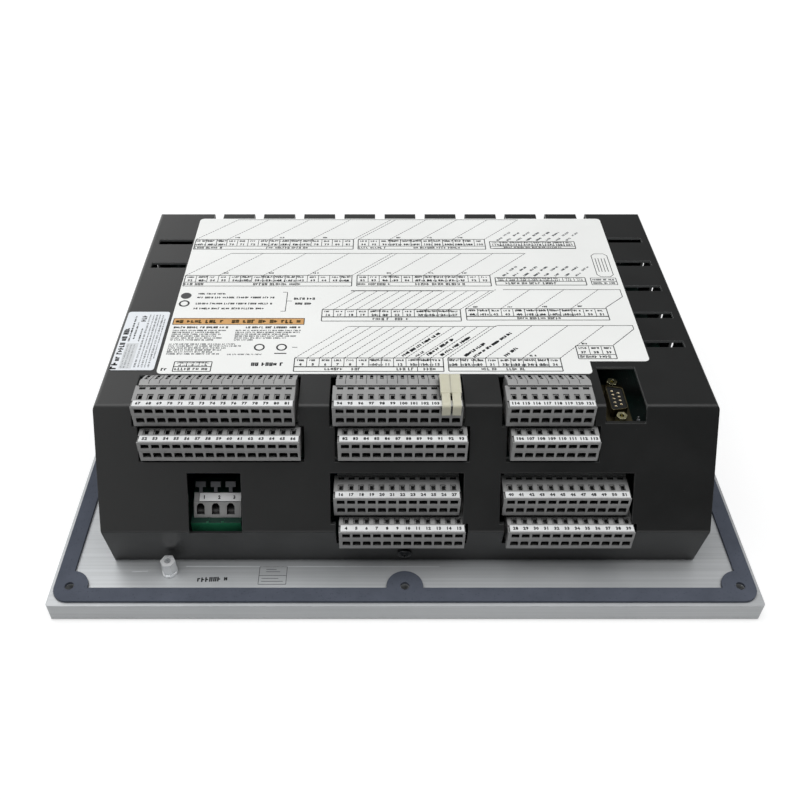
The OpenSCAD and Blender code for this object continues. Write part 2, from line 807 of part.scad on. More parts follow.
// Slot in a header's sloping top, over the rear of one pole
module header_slot() {
    along_x(-0.8, 1.6) polygon([
        [header_front + 5.3, plug_top + 1], [header_front + 5.3, nose_top + 1],
        [header_front + socket_depth + 0.6, nose_top + 1], [header_front + socket_depth + 0.6, pin_top + 0.8],
        [header_shelf - 0.5, pin_top + 0.8], [header_shelf - 0.5, plug_top + 1]
    ]);
}

// Seam between two poles in a header's top
module header_seam() {
    along_x(-0.15, 0.3) polygon([
        [header_front + 0.4, plug_top + 1], [header_front + 0.4, plug_top + header_lip - 0.4],
        [header_front + 3, plug_top + header_lip - 0.4], [header_shelf - 0.4, -2.4],
        [header_shelf - 0.4, plug_top + 1]
    ]);
}

module header_pins() {
    color("gold")
    for (s = stacks)
        stack_pins(s, 0);
}

/* Operating levers on plug B1, drawn with a pole's front face and slot row at the origin */

pivot_y = -0.85;
pivot_z = -1.15;
leg_r = 0.6;
handle_w = pole - handle_gap;
arm_low = plug_top + 0.6;
handle_y = 6.9;

module lever() {
    color("ivory") {
        translate([-leg_w / 2, pivot_y, pivot_z]) rotate([0, 90, 0]) cylinder(h = leg_w, r = leg_r, $fn = 32);
        along_x(-leg_w / 2, leg_w) polygon(concat(
            [[pivot_y - leg_r, pivot_z], [pivot_y + leg_r, pivot_z]],
            [[pivot_y + leg_r, arm_low], [handle_y, arm_low], [handle_y + 1, arm_low + 1.9]],
            [[handle_y, arm_low + 2.2]],
            arc(pivot_y - leg_r + 1.8, arm_low - 0.1, 1.8, 100, 180, 4)
        ));
        along_x(-handle_w / 2, handle_w) polygon([
            [handle_y, arm_low + 0.2], [handle_y + handle_len, arm_low + 0.2],
            [handle_y + handle_len, arm_low + 1.8], [handle_y + handle_len - 0.6, arm_low + 2.6],
            [handle_y + 0.4, arm_low + 2.6], [handle_y, arm_low + 2.2]
        ]);
        block([-1.5, 1.5], [pivot_y, 1], [-0.4, 0.4]);
        block([-0.7, 0.7], [handle_y + 0.1, handle_y + 1.2], [1.4, arm_low + 1]);
    }
}

module lever_at(pole_number) {
    at_deck(stack_b, 0) translate([pole_number * pole, 0, 0]) lever();
}

/* Power inlet */

module at_power_poles() {
    for (i = [-1:1])
        translate([power_x + i * power_pole, power_y, power_low]) children();
}

module power_plug() {
    left = -1.5 * power_pole + 0.4;
    width = 3 * power_pole + 1.05;
    strip_y = (power_h - 1.9) * tan(power_slope);
    color("lightgray")
    difference() {
        translate([power_x, power_y, power_low]) {
            along_x(left, width) polygon([
                [0, 0], [strip_y, power_h - 1.9], [strip_y + 0.4, power_h - 1.9], [strip_y + 4.3, power_h],
                [9.4, power_h], [9.4, power_shelf], [power_body, power_shelf], [power_body, 0]
            ]);
            block([left + 1.4, left + width - 1.4], [power_body - 1, power_body + power_nose],
                [power_nose_low, power_nose_top]);
        }
        at_power_poles() {
            rotate([-power_slope, 0, 0]) along_y(-eps, 2.2) polygon([
                [-power_wire_w / 2, 1.6], [power_wire_w / 2, 1.6], [power_wire_w / 2, 5.9],
                [0.9, 7.3], [-0.9, 7.3], [-power_wire_w / 2, 5.9]
            ]);
            along_x(-2.6, 5.2) polygon([
                [2.4, 1.3], [5.2, power_h - 3.1], [8.4, power_h - 1.5], [8.4, 1.3]
            ]);
            block([-0.9, 0.9], [8, power_body + power_nose + eps], [1.5, 3.5]);
        }
        at_power_tabs() block([-0.95, 0.95], [0.2, 1.7], [-2.6, 3]);
    }
}

// Slanted frame behind the power plug's top, where its push tabs stand
module at_power_tabs() {
    at_power_poles() translate([-0.3, 9, power_h]) rotate([-power_slope, 0, 0]) children();
}

module power_tabs() {
    color("gray")
    at_power_tabs()
        along_y(0.3, 1.3) polygon([
            [-0.85, -2.6], [0.85, -2.6], [0.85, 2.9], [2.5, 2.9],
            [2.5, 5.7], [-2.5, 5.7], [-2.5, 2.9], [-0.85, 2.9]
        ]);
}

module power_header() {
    left = -1.5 * power_pole - 0.8;
    right = 1.5 * power_pole + 1.7;
    rear = power_body + power_nose + 2.5;
    color("seagreen")
    difference() {
        translate([power_x, power_y, 0]) {
            block([left, right], [-3.5, rear], [main_top, power_low]);
            block([left, right], [power_body + fit, rear], [main_top, power_low + power_shelf + 0.6]);
            for (x = [-power_pole / 2, power_pole / 2])
                block([x - 0.6, x + 0.6], [-3.2, -1.2], [power_low - 0.1, power_low + 0.7]);
        }
        translate([power_x, power_y, power_low])
            block([-1.5 * power_pole + 1.6, 1.5 * power_pole + 0.3],
                [power_body, power_body + power_nose + 0.3], [power_nose_low - fit, power_nose_top + fit]);
        power_pin_shapes();
    }
}

module power_pin_shapes() {
    leg = power_body + power_nose + 0.9;
    drop = main_low - 1.5 - power_low;
    at_power_poles()
        along_x(-0.6, 1.2) polygon([
            [power_body, 2], [leg, 2], [leg, drop], [leg + 1.2, drop], [leg + 1.2, 3.2], [power_body, 3.2]
        ]);
}

module power_pins() {
    color("gold") power_pin_shapes();
}

/* Data connector, upright on the upper board */

d_long = jack_span - 7;

function d_outline(long, short, r) = concat(
    arc(short / 2 - r, long / 2 - 1.3 - r, r, 0, 80, 4),
    arc(-short / 2 + r, long / 2 - r, r, 100, 180, 4),
    arc(-short / 2 + r, -long / 2 + r, r, 180, 260, 4),
    arc(short / 2 - r, -long / 2 + 1.3 + r, r, 280, 360, 4)
);

module data_shell() {
    color("goldenrod")
    translate([data_x, data_cy, flange_z])
        difference() {
            union() {
                linear_extrude(0.8) polygon(round_rect(12.5, jack_span + 5.8, 1.5));
                linear_extrude(shell_rise) polygon(d_outline(d_long, 8.4, 1.6));
            }
            translate([0, 0, -eps]) linear_extrude(shell_rise + 1) polygon(d_outline(d_long - 0.8, 7.6, 1.2));
            for (s = [-1, 1])
                translate([0, s * jack_span / 2, -eps]) cylinder(h = 2, r = 1.6, $fn = 24);
        }
}

module data_insert() {
    color([0.1, 0.1, 0.1])
    translate([data_x, data_cy, 0])
        difference() {
            union() {
                translate([0, 0, flange_z]) linear_extrude(shell_rise - 0.5) polygon(d_outline(d_long - 1, 7.4, 1.1));
                translate([0, 0, io_top])
                    linear_extrude(flange_z - io_top)
                    polygon(round_rect(10.9, jack_span - 6, 0.8));
            }
            at_data_holes() translate([0, 0, io_top - eps])
                cylinder(h = flange_z + shell_rise - io_top, r = 0.7, $fn = 16);
        }
}

// Five holes in one row and four in the other, 2.77 apart
module at_data_holes() {
    for (i = [0:4])
        translate([-1.42, (i - 2) * 2.77, 0]) children();
    for (i = [0:3])
        translate([1.42, (i - 1.5) * 2.77, 0]) children();
}

module data_contacts() {
    color("gold")
    translate([data_x, data_cy, 0])
        at_data_holes() translate([0, 0, io_top]) difference() {
            cylinder(h = flange_z + shell_rise - 0.8 - io_top, r = 0.68, $fn = 16);
            translate([0, 0, flange_z - io_top]) cylinder(h = shell_rise, r = 0.48, $fn = 16);
        }
}

module jackscrews() {
    color("goldenrod")
    for (s = [-1, 1])
        translate([data_x, data_cy + s * jack_span / 2, flange_z])
            difference() {
                union() {
                    translate([0, 0, 0.8]) cylinder(h = 4.8, r = 2.75, $fn = 6);
                    translate([0, 0, -5]) cylinder(h = 6, r = 1.5, $fn = 24);
                }
                translate([0, 0, 1]) cylinder(h = 5, r = 1.15, $fn = 24);
            }
}

/* Boards and what they carry */

module pin_holes(stack) {
    for (d = [0, 1])
        at_deck(stack, d)
            for (i = [0:stack[1] - 1])
                block([i * pole - 0.65, i * pole + 0.65], [header_back - 2.7, header_back - 1.3], [-90, 10]);
}

module main_board() {
    leg = power_y + power_body + power_nose + 0.9;
    color("darkgreen")
    difference() {
        block([-board_half, board_half], [main_front, board_far], [main_low, main_top]);
        pin_holes(stack_d);
        pin_holes(stack_e);
        for (i = [-1:1])
            block([power_x + i * power_pole - 0.8, power_x + i * power_pole + 0.8], [leg - 0.2, leg + 1.4],
                [main_low - 1, main_top + 1]);
        at_posts() translate([0, 0, main_low - 1]) cylinder(h = board_t + 2, r = 1.7, $fn = 24);
    }
}

module io_board() {
    color("darkgreen")
    difference() {
        block([-board_half, board_half], [io_front, board_far], [io_low, io_top]);
        pin_holes_over(stack_a);
        pin_holes_over(stack_b);
        pin_holes_over(stack_c);
        at_posts() translate([0, 0, io_low - 1]) cylinder(h = board_t + 2, r = 1.7, $fn = 24);
    }
}

module pin_holes_over(stack) {
    intersection() {
        pin_holes(stack);
        block([-board_half, board_half], [bend2_y, far_y], [io_low - 1, io_top + 1]);
    }
}

module lower_standoffs() {
    color("goldenrod")
    at_posts() difference() {
        translate([0, 0, pocket_floor]) cylinder(h = main_low - pocket_floor, r = standoff_r, $fn = 6);
        translate([0, 0, main_low - 8]) cylinder(h = 8 + eps, r = 1.25, $fn = 24);
    }
}

module upper_standoffs() {
    color("goldenrod")
    at_posts() difference() {
        union() {
            translate([0, 0, main_top]) cylinder(h = io_low - main_top, r = standoff_r, $fn = 6);
            translate([0, 0, main_top - board_t - 5]) cylinder(h = board_t + 6, r = 1.2, $fn = 24);
        }
        translate([0, 0, io_low - 8]) cylinder(h = 8 + eps, r = 1.25, $fn = 24);
    }
}

module board_screws() {
    color("silver")
    at_posts() {
        translate([0, 0, io_top - board_t - 5]) cylinder(h = board_t + 5, r = 1.2, $fn = 24);
        translate([0, 0, io_top]) difference() {
            cylinder(h = 2.2, r = 2.8, $fn = 32);
            for (a = [0, 90])
                rotate([0, 0, a]) translate([-1.6, -0.35, 1]) cube([3.2, 0.7, 2]);
        }
    }
}

module power_transformer() {
    color("peru")
    translate([51 - board_half, board_far - 50, main_top]) {
        difference() {
            block([-27, 27], [-9, 9], [0, 36]);
            for (s = [-1, 1])
                block([s * 14 - 6, s * 14 + 6], [-10, 10], [8, 28]);
        }
        difference() {
            block([-19, 19], [-15, 15], [8.4, 27.6]);
            block([-8, 8], [-9, 9], [8, 28]);
            for (s = [-1, 1])
                block([s * 23.5 - 3.5, s * 23.5 + 3.5], [-9.01, 9.01], [8, 28]);
        }
    }
}

module filter_capacitors() {
    color("midnightblue")
    for (i = [0:3])
        translate([99 - board_half + i * 20, board_far - 48, main_top])
            union() {
                cylinder(h = 30, r = 8, $fn = 40);
                translate([0, 0, 30]) cylinder(h = 0.6, r = 6.8, $fn = 40);
            }
}

module output_relays() {
    color("royalblue")
    for (i = [0:7])
        translate([25 - board_half + i * 17, lower_y + header_back + 29, main_top])
            linear_extrude(15.5)
            polygon(round_rect(12.6, 29, 1));
}

module heat_sink() {
    color("dimgray")
    translate([board_half - 69, board_far - 46, main_top])
        along_y(-22, 44) difference() {
            square([64, 30]);
            for (i = [0:7])
                translate([4.5 + i * 7.4, 5]) square([4.2, 26]);
        }
}

chips_y = (cut_rear + board_far) / 2;

module processor_chip() {
    color([0.12, 0.12, 0.13])
    translate([6, chips_y, io_top])
        linear_extrude(3.6)
        polygon(concat([[14, -14], [14, 14], [-14, 14], [-14, -11], [-11, -14]]));
}

module signal_chips() {
    color([0.12, 0.12, 0.13])
    for (i = [0:4], j = [0:2])
        translate([-112 + i * 24, chips_y + (j - 1) * 34, io_top])
            linear_extrude(3.4)
            polygon([[-4, -10], [4, -10], [4, 10], [1, 10], [0, 9], [-1, 10], [-4, 10]]);
}

module board_link() {
    color([0.12, 0.12, 0.13])
    block([board_half - 83, board_half - 23], [board_far - 14, board_far - 8], [main_top, io_low]);
}

socket_near = window_y - module_h / 2 - 29;
socket_rise = 4;

module ribbon_sockets() {
    color([0.12, 0.12, 0.13]) {
        block([-20, 20], [socket_near - 4, socket_near + 4],
            [pocket_floor + board_t, pocket_floor + board_t + socket_rise]);
        block([-20, 20], [socket_near - 24, socket_near - 16], [main_low - socket_rise, main_low]);
    }
}

// Flat ribbon, folded over between its two sockets
module display_ribbon() {
    z0 = pocket_floor + board_t + socket_rise;
    z1 = main_low - socket_rise;
    zm = (z0 + z1) / 2;
    color("lightgray")
    along_x(-17, 34) polygon([
        [socket_near - 0.5, z0], [socket_near + 0.5, z0], [socket_near + 0.5, zm + 0.5],
        [socket_near - 19.5, zm + 0.5], [socket_near - 19.5, z1], [socket_near - 20.5, z1],
        [socket_near - 20.5, zm - 0.5], [socket_near - 0.5, zm - 0.5]
    ]);
}

module service_header() {
    color([0.12, 0.12, 0.13])
    difference() {
        block([data_x + 12.4, data_x + 14.8], [data_cy - 3.7, data_cy + 2.6], [io_top, io_top + 1.6]);
        service_pin_shapes();
    }
}

module service_pin_shapes() {
    for (i = [-1:1])
        translate([data_x + 13.6, data_cy - 0.55 + i * 2, io_top])
            block([-0.3, 0.3], [-0.3, 0.3], [0, 4.6]);
}

module service_pins() {
    color("gold") service_pin_shapes();
}

/* Nodes */

bezel_plate();
panel_gasket();
rear_cover();
cover_screws();
cover_blocks();
wiring_label();
serial_label();
ground_standoff();
keypad_film();
display_window();
display_module();
keypad_board();
main_board();
io_board();
lower_standoffs();
upper_standoffs();
board_screws();
header(stack_a);  // header_a
header(stack_b);  // header_b
header(stack_c);  // header_c
header(stack_d);  // header_d
header(stack_e);  // header_e
header_pins();
at_deck(stack_a, 0) plug(stack_a[1]);  // plug_a1
at_deck(stack_a, 1) plug(stack_a[1]);  // plug_a2
at_deck(stack_b, 0) plug(stack_b[1]);  // plug_b1
at_deck(stack_b, 1) plug(stack_b[1]);  // plug_b2
at_deck(stack_c, 0) plug(stack_c[1]);  // plug_c1
at_deck(stack_c, 1) plug(stack_c[1]);  // plug_c2
at_deck(stack_d, 0) plug(stack_d[1]);  // plug_d1
at_deck(stack_d, 1) plug(stack_d[1]);  // plug_d2
at_deck(stack_e, 0) plug(stack_e[1]);  // plug_e1
at_deck(stack_e, 1) plug(stack_e[1]);  // plug_e2
marker_strips();
clamp_springs();
contact_bars();
lever_at(lever_pole);  // lever_left
lever_at(lever_pole + 1);  // lever_right
power_plug();
power_header();
power_pins();
power_tabs();
data_shell();
data_insert();
data_contacts();
jackscrews();
power_transformer();
filter_capacitors();
output_relays();
heat_sink();
processor_chip();
signal_chips();
board_link();
display_ribbon();
ribbon_sockets();
service_header();
service_pins();
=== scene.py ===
import math

import bpy
import numpy as np
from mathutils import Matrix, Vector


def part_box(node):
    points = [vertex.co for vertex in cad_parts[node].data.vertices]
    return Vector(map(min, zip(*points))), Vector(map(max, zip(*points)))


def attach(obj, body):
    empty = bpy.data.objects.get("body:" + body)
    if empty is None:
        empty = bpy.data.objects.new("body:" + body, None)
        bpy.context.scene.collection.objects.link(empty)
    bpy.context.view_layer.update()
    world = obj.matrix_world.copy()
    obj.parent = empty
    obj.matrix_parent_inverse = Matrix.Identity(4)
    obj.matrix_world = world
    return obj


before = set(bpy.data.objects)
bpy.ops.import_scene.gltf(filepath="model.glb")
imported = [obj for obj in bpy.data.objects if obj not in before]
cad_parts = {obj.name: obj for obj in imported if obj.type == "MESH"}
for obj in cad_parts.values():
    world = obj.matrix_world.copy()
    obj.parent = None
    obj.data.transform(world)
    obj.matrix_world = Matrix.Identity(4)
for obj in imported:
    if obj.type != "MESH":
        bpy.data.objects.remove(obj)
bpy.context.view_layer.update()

mm = 0.001
body = "unit"
rng = np.random.default_rng(11)


# A colour written as sRGB hex, turned to the linear values that shaders take
def linear(hexColour):
    parts = [int(hexColour[i:i + 2], 16) / 255 for i in (1, 3, 5)]
    return [c / 12.92 if c <= 0.04045 else ((c + 0.055) / 1.055) ** 2.4 for c in parts] + [1.0]


# Adds one node to a tree: settings are its properties, inputs are values or sockets to link
def addNode(tree, kind, inputs=None, **settings):
    node = tree.nodes.new(kind)
    for name, value in settings.items():
        setattr(node, name, value)
    for key, value in (inputs or {}).items():
        if isinstance(value, bpy.types.NodeSocket):
            tree.links.new(value, node.inputs[key])
        else:
            node.inputs[key].default_value = value
    return node


# One step of arithmetic on sockets or numbers; returns the socket of its result
def calculate(tree, operation, *values):
    return addNode(tree, "ShaderNodeMath", dict(enumerate(values)), operation=operation).outputs[0]


# Lays a colour written as hex over another one, by a share from 0 to 1
def overlay(tree, share, colour, hexColour):
    return addNode(tree, "ShaderNodeMix", {0: share, 6: colour, 7: linear(hexColour)},
                   data_type="RGBA").outputs[2]


# The height of a face's normal: 1 for a face that looks straight up, 0 for an upright one
def facingUp(tree):
    normal = addNode(tree, "ShaderNodeNewGeometry").outputs["Normal"]
    return addNode(tree, "ShaderNodeSeparateXYZ", {0: normal}).outputs[2]


# A material with one Principled shader; returns the material, its tree, the shader and Object coordinates
def newMaterial(name, roughness=0.5, **shaderValues):
    material = bpy.data.materials.new(name)
    material.use_nodes = True
    tree = material.node_tree
    tree.nodes.clear()
    shader = addNode(tree, "ShaderNodeBsdfPrincipled", {"Roughness": roughness})
    for key, value in shaderValues.items():
        shader.inputs[key.replace("_", " ")].default_value = value
    addNode(tree, "ShaderNodeOutputMaterial", {"Surface": shader.outputs[0]})
    place = addNode(tree, "ShaderNodeTexCoord").outputs["Object"]
    return material, tree, shader, place


# Scale of a noise pattern whose features are sizeMm apart
def perMm(sizeMm):
    return 1000.0 / sizeMm


# Gives a material a colour that drifts between two tones, a fine relief, softly rounded edges edgeMm wide,
# and a lighter tone along those edges; all sizes are real ones in millimetres
def dressSurface(tree, shader, place, tones, driftMm=20, grainMm=0.5, grainDepth=0.01, stretch=(1, 1, 1),
                 roughRange=None, edgeMm=0.0, edgeTone=None, edgeShare=0.5):
    spread = addNode(tree, "ShaderNodeMapping", {"Vector": place, "Scale": stretch}).outputs[0]
    drift = addNode(tree, "ShaderNodeTexNoise", {"Vector": place, "Scale": perMm(driftMm), "Detail": 5.0,
                                                 "Roughness": 0.6}).outputs["Fac"]
    ramp = addNode(tree, "ShaderNodeValToRGB", {"Fac": drift})
    ramp.color_ramp.elements[0].position = 0.32
    ramp.color_ramp.elements[1].position = 0.68
    ramp.color_ramp.elements[0].color = linear(tones[0])
    ramp.color_ramp.elements[1].color = linear(tones[1])
    colour = ramp.outputs[0]
    grain = addNode(tree, "ShaderNodeTexNoise", {"Vector": spread, "Scale": perMm(grainMm), "Detail": 3.0})
    relief = addNode(tree, "ShaderNodeBump", {"Height": grain.outputs["Fac"], "Distance": grainDepth * mm})
    if edgeMm:
        rounded = addNode(tree, "ShaderNodeBevel", {"Radius": edgeMm * mm}, samples=4).outputs[0]
        tree.links.new(rounded, relief.inputs["Normal"])
        # Where the rounded normal turns away from the face's own, the colour goes towards edgeTone, lighter
        # along the edges
        if edgeTone:
            flat = addNode(tree, "ShaderNodeNewGeometry").outputs["Normal"]
            turn = addNode(tree, "ShaderNodeVectorMath", {0: rounded, 1: flat}, operation="DOT_PRODUCT")
            alongEdge = addNode(tree, "ShaderNodeMapRange", {"Value": turn.outputs["Value"], "From Min": 0.97,
                                                        "From Max": 0.8, "To Max": edgeShare})
            colour = overlay(tree, alongEdge.outputs[0], colour, edgeTone)
    tree.links.new(colour, shader.inputs["Base Color"])
    tree.links.new(relief.outputs[0], shader.inputs["Normal"])
    if roughRange:
        gloss = addNode(tree, "ShaderNodeMapRange", {"Value": drift, "From Min": 0.3, "From Max": 0.7,
                                                     "To Min": roughRange[0], "To Max": roughRange[1]})
        tree.links.new(gloss.outputs[0], shader.inputs["Roughness"])
    return colour, relief


# Paints shade into a colour in narrow recesses: what lies within reachMm of other surfaces goes towards the
# shade tone
def shadeRecess(tree, shader, colour, reachMm, shade, floor=0.15, full=0.85):
    openness = addNode(tree, "ShaderNodeAmbientOcclusion", {"Distance": reachMm * mm},
                       samples=6).outputs["AO"]
    paintedShadeShare = addNode(tree, "ShaderNodeMapRange", {"Value": openness, "From Min": floor, "From Max": full,
                                                 "To Min": 1.0, "To Max": 0.0})
    colour = overlay(tree, paintedShadeShare.outputs[0], colour, shade)
    tree.links.new(colour, shader.inputs["Base Color"])


# Lays small specks of another tone over a colour: cells spacingMm apart, each with a speck of radius speckMm
def speckle(tree, place, colour, tone, spacingMm, speckMm, share):
    cells = addNode(tree, "ShaderNodeTexVoronoi", {"Vector": place, "Scale": perMm(spacingMm),
                                                   "Randomness": 1.0})
    reach = speckMm / spacingMm
    size = addNode(tree, "ShaderNodeMapRange", {"Value": cells.outputs["Distance"], "From Min": reach,
                                                "From Max": reach * 0.6, "To Max": 1.0})
    few = addNode(tree, "ShaderNodeSeparateColor", {"Color": cells.outputs["Color"]})
    kept = calculate(tree, "LESS_THAN", few.outputs[0], share)
    both = calculate(tree, "MULTIPLY", size.outputs[0], kept)
    return overlay(tree, both, colour, tone)


print("materials")


# Heights in metres between which the cover's upright faces, the walls of the vent slots in the top sheet, get
# a painted lighter tone: the middle, and half the span
paintedSlotLight = {"middle": 0.0945, "half": 0.00125}


# Sheet steel with a fine charcoal powder coat: dull, a soft orange peel, lighter edges, a few pale
# specks; the upright walls of the vent slots in the top sheet get a lighter grey, partly for a thinner coat
# on the cut edges and partly painted light that brightens the slots
def powderCoat():
    material, tree, shader, place = newMaterial("powderCoatedSteel", 0.5, Specular_IOR_Level=0.4)
    colour = dressSurface(tree, shader, place, ("#0F1010", "#141515"), 40, 0.8, 0.03,
                          roughRange=(0.34, 0.43), edgeMm=0.5, edgeTone="#4C4E4E", edgeShare=0.5)[0]
    colour = speckle(tree, place, colour, "#4A4C4E", 5.0, 0.16, 0.12)
    # Painted light: upright faces at the top sheet's height, the vent slots' walls, go to a lighter grey
    upright = calculate(tree, "COMPARE", facingUp(tree), 0.0, 0.1)
    height = addNode(tree, "ShaderNodeSeparateXYZ", {0: place}).outputs[2]
    inTop = calculate(tree, "COMPARE", height, paintedSlotLight["middle"], paintedSlotLight["half"])
    colour = overlay(tree, calculate(tree, "MULTIPLY", upright, inTop), colour, "#666868")
    tree.links.new(colour, shader.inputs["Base Color"])
    return material


# Clear anodised aluminium, finely brushed along x: the oxide layer scatters part of the light, so that it
# stays pale beside dark things; faint long streaks, a bright tone along the edges, and painted shade in deep
# holes
def anodisedAluminium():
    material, tree, shader, place = newMaterial("brushedAnodisedAluminium", 0.4, Metallic=0.24)
    colour = dressSurface(tree, shader, place, ("#BBBEC0", "#C6C8CA"), 60, 0.5, 0.004,
                          (0.03, 1, 1), (0.34, 0.46), 0.35, "#BEC1C3", 0.6)[0]
    streaks = addNode(tree, "ShaderNodeMapping", {"Vector": place, "Scale": (0.01, 1, 1)}).outputs[0]
    lines = addNode(tree, "ShaderNodeTexNoise", {"Vector": streaks, "Scale": perMm(1.2), "Detail": 4.0})
    tint = addNode(tree, "ShaderNodeMapRange", {"Value": lines.outputs["Fac"], "From Min": 0.35,
                                                "From Max": 0.7, "To Min": 0.0, "To Max": 0.22})
    colour = overlay(tree, tint.outputs[0], colour, "#7E8183")
    colour = speckle(tree, place, colour, "#55534F", 9.0, 0.28, 0.05)
    # Painted shade: deep holes in the plate go towards a dark blue grey
    shadeRecess(tree, shader, colour, 4.0, "#12151A", 0.3, 0.62)
    return material


# Closed-cell sponge rubber, dark blue grey: fully matte with a skin of tiny pores
def spongeRubber():
    material, tree, shader, place = newMaterial("closedCellRubber", 0.85, Specular_IOR_Level=0.25)
    colour = dressSurface(tree, shader, place, ("#4C515C", "#555A66"), 14, 0.5, 0.05,
                          edgeMm=0.3, edgeTone="#7C838F", edgeShare=0.4)[0]
    colour = speckle(tree, place, colour, "#3C424C", 1.1, 0.3, 0.35)
    tree.links.new(colour, shader.inputs["Base Color"])
    return material


# A moulded plastic: two close tones, a faint spark-eroded grain, soft edges, and painted shade in recesses if
# asked for
def mouldedPlastic(name, tones, roughness=0.45, edgeTone=None, grainMm=0.35, specular=0.4, edgeMm=0.25,
                   recess=None, **shaderValues):
    material, tree, shader, place = newMaterial(name, roughness, IOR=1.53, Specular_IOR_Level=specular,
                                                **shaderValues)
    colour = dressSurface(tree, shader, place, tones, 9, grainMm, 0.012, (1, 1, 1),
                          (roughness - 0.05, roughness + 0.07), edgeMm, edgeTone, 0.5)[0]
    if recess:
        shadeRecess(tree, shader, colour, *recess)
    return material


# A plated or bare metal: tone, fine machining grain, slightly uneven gloss, and painted shade in recesses if
# asked for
def platedMetal(name, tones, roughness=0.3, grainMm=0.3, stretch=(1, 1, 1), edgeMm=0.15, edgeTone=None,
                recess=None, metallic=1.0):
    material, tree, shader, place = newMaterial(name, roughness, Metallic=metallic)
    colour = dressSurface(tree, shader, place, tones, 6, grainMm, 0.006, stretch,
                          (roughness * 0.8, roughness * 1.3), edgeMm, edgeTone, 0.7)[0]
    if recess:
        shadeRecess(tree, shader, colour, *recess)
    return material


# Green glass-filled polyamide: its upright faces keep the light tone; its upper faces, under the plug, get a
# painted shade, and its recesses go near black with painted shade
def greenHousing():
    material, tree, shader, place = newMaterial("greenPolyamide", 0.4, IOR=1.53, Specular_IOR_Level=0.4)
    colour = dressSurface(tree, shader, place, ("#38986E", "#40A47A"), 9, 0.35, 0.012, (1, 1, 1),
                          (0.36, 0.46), 0.25, "#7CC0A0", 0.5)[0]
    # Painted shade: faces that look up are darkened, as if shaded by the plug above
    level = calculate(tree, "COMPARE", facingUp(tree), 1.0, 0.5)
    colour = overlay(tree, level, colour, "#16332A")
    # Painted shade in recesses
    shadeRecess(tree, shader, colour, 14.0, "#050A08", 0.03, 0.3)
    return material


# Polyester label film with a satin varnish: near white, a trace of greying and a shallow ripple
def labelFilm(name, tones):
    material, tree, shader, place = newMaterial(name, 0.42, IOR=1.5, Specular_IOR_Level=0.35)
    dressSurface(tree, shader, place, tones, 70, 9.0, 0.05, roughRange=(0.38, 0.5))
    return material


# Glass-epoxy laminate under green solder mask: lighter tracks both ways, trackMm apart, tinned pads, and
# painted shade deep inside the housing
def solderMask(trackMm=1.27, padMm=2.54):
    material, tree, shader, place = newMaterial("solderMaskLaminate", 0.3, IOR=1.5)
    colour = dressSurface(tree, shader, place, ("#0E3B33", "#14483D"), 25, 0.4, 0.01)[0]
    for turn in (0.0, math.pi / 2):
        lane = addNode(tree, "ShaderNodeMapping", {"Vector": place, "Rotation": (0, 0, turn)}).outputs[0]
        tracks = addNode(tree, "ShaderNodeTexBrick", {"Vector": lane, "Scale": perMm(trackMm),
                                                      "Mortar Size": 0.14, "Brick Width": 17.0,
                                                      "Row Height": 1.0,
                                                      "Color1": (0, 0, 0, 1), "Color2": (0, 0, 0, 1),
                                                      "Mortar": (1, 1, 1, 1)}, offset=0.37)
        patch = addNode(tree, "ShaderNodeTexNoise", {"Vector": lane, "Scale": perMm(14), "Detail": 1.0})
        here = calculate(tree, "GREATER_THAN", patch.outputs["Fac"], 0.52)
        share = calculate(tree, "MULTIPLY", tracks.outputs["Color"], here)
        colour = overlay(tree, share, colour, "#2B7562")
    colour = speckle(tree, place, colour, "#B9B7A8", padMm, 0.5, 0.3)
    # Painted shade: the boards go dark where they lie deep among other parts
    shadeRecess(tree, shader, colour, 40, "#0A1413", 0.2, 0.9)
    return material


# Clear acrylic window: see-through with a hard gloss
def clearAcrylic():
    material, tree, shader, place = newMaterial("clearAcrylic", 0.05, IOR=1.49, Transmission_Weight=0.92)
    dressSurface(tree, shader, place, ("#E9EEF0", "#F2F5F6"), 80, 30.0, 0.01)
    return material


# Front film: dark grey polyester with a velvet grain; the frames round its keys are printed later
def keypadPolyester():
    material, tree, shader, place = newMaterial("velvetPolyesterFilm", 0.55, IOR=1.5)
    dressSurface(tree, shader, place, ("#3A3D41", "#404347"), 60, 0.25, 0.015, (1, 1, 1), (0.5, 0.6), 0.3,
                 "#5D6166", 0.4)
    return material


# Liquid crystal display behind glass: grey green, with a fine dark grid and nothing shown
def displayGlass():
    material, tree, shader, place = newMaterial("liquidCrystalDisplay", 0.2, IOR=1.5)
    colour = dressSurface(tree, shader, place, ("#4D5A3C", "#55633F"), 60, 3.0, 0.004)[0]
    cells = addNode(tree, "ShaderNodeTexBrick", {"Vector": place, "Scale": perMm(1.0), "Mortar Size": 0.03,
                                                 "Brick Width": 0.8, "Row Height": 0.8,
                                                 "Color1": (0, 0, 0, 1), "Color2": (0, 0, 0, 1),
                                                 "Mortar": (1, 1, 1, 1)}, offset=0.0)
    colour = overlay(tree, cells.outputs["Color"], colour, "#3B4630")
    tree.links.new(colour, shader.inputs["Base Color"])
    return material


# Laminated core of the transformer: thin dark sheets on edge
def coreSteel():
    material, tree, shader, place = newMaterial("laminatedCoreSteel", 0.45, Metallic=1.0)
    relief = dressSurface(tree, shader, place, ("#5E5A55", "#6B6761"), 12, 0.4, 0.01)[1]
    sheets = addNode(tree, "ShaderNodeTexWave", {"Vector": place, "Scale": perMm(0.5) / 20,
                                                 "Distortion": 0.2}, bands_direction="Y")
    relief = addNode(tree, "ShaderNodeBump", {"Height": sheets.outputs["Fac"], "Distance": 0.06 * mm,
                                              "Normal": relief.outputs[0]})
    tree.links.new(relief.outputs[0], shader.inputs["Normal"])
    return material


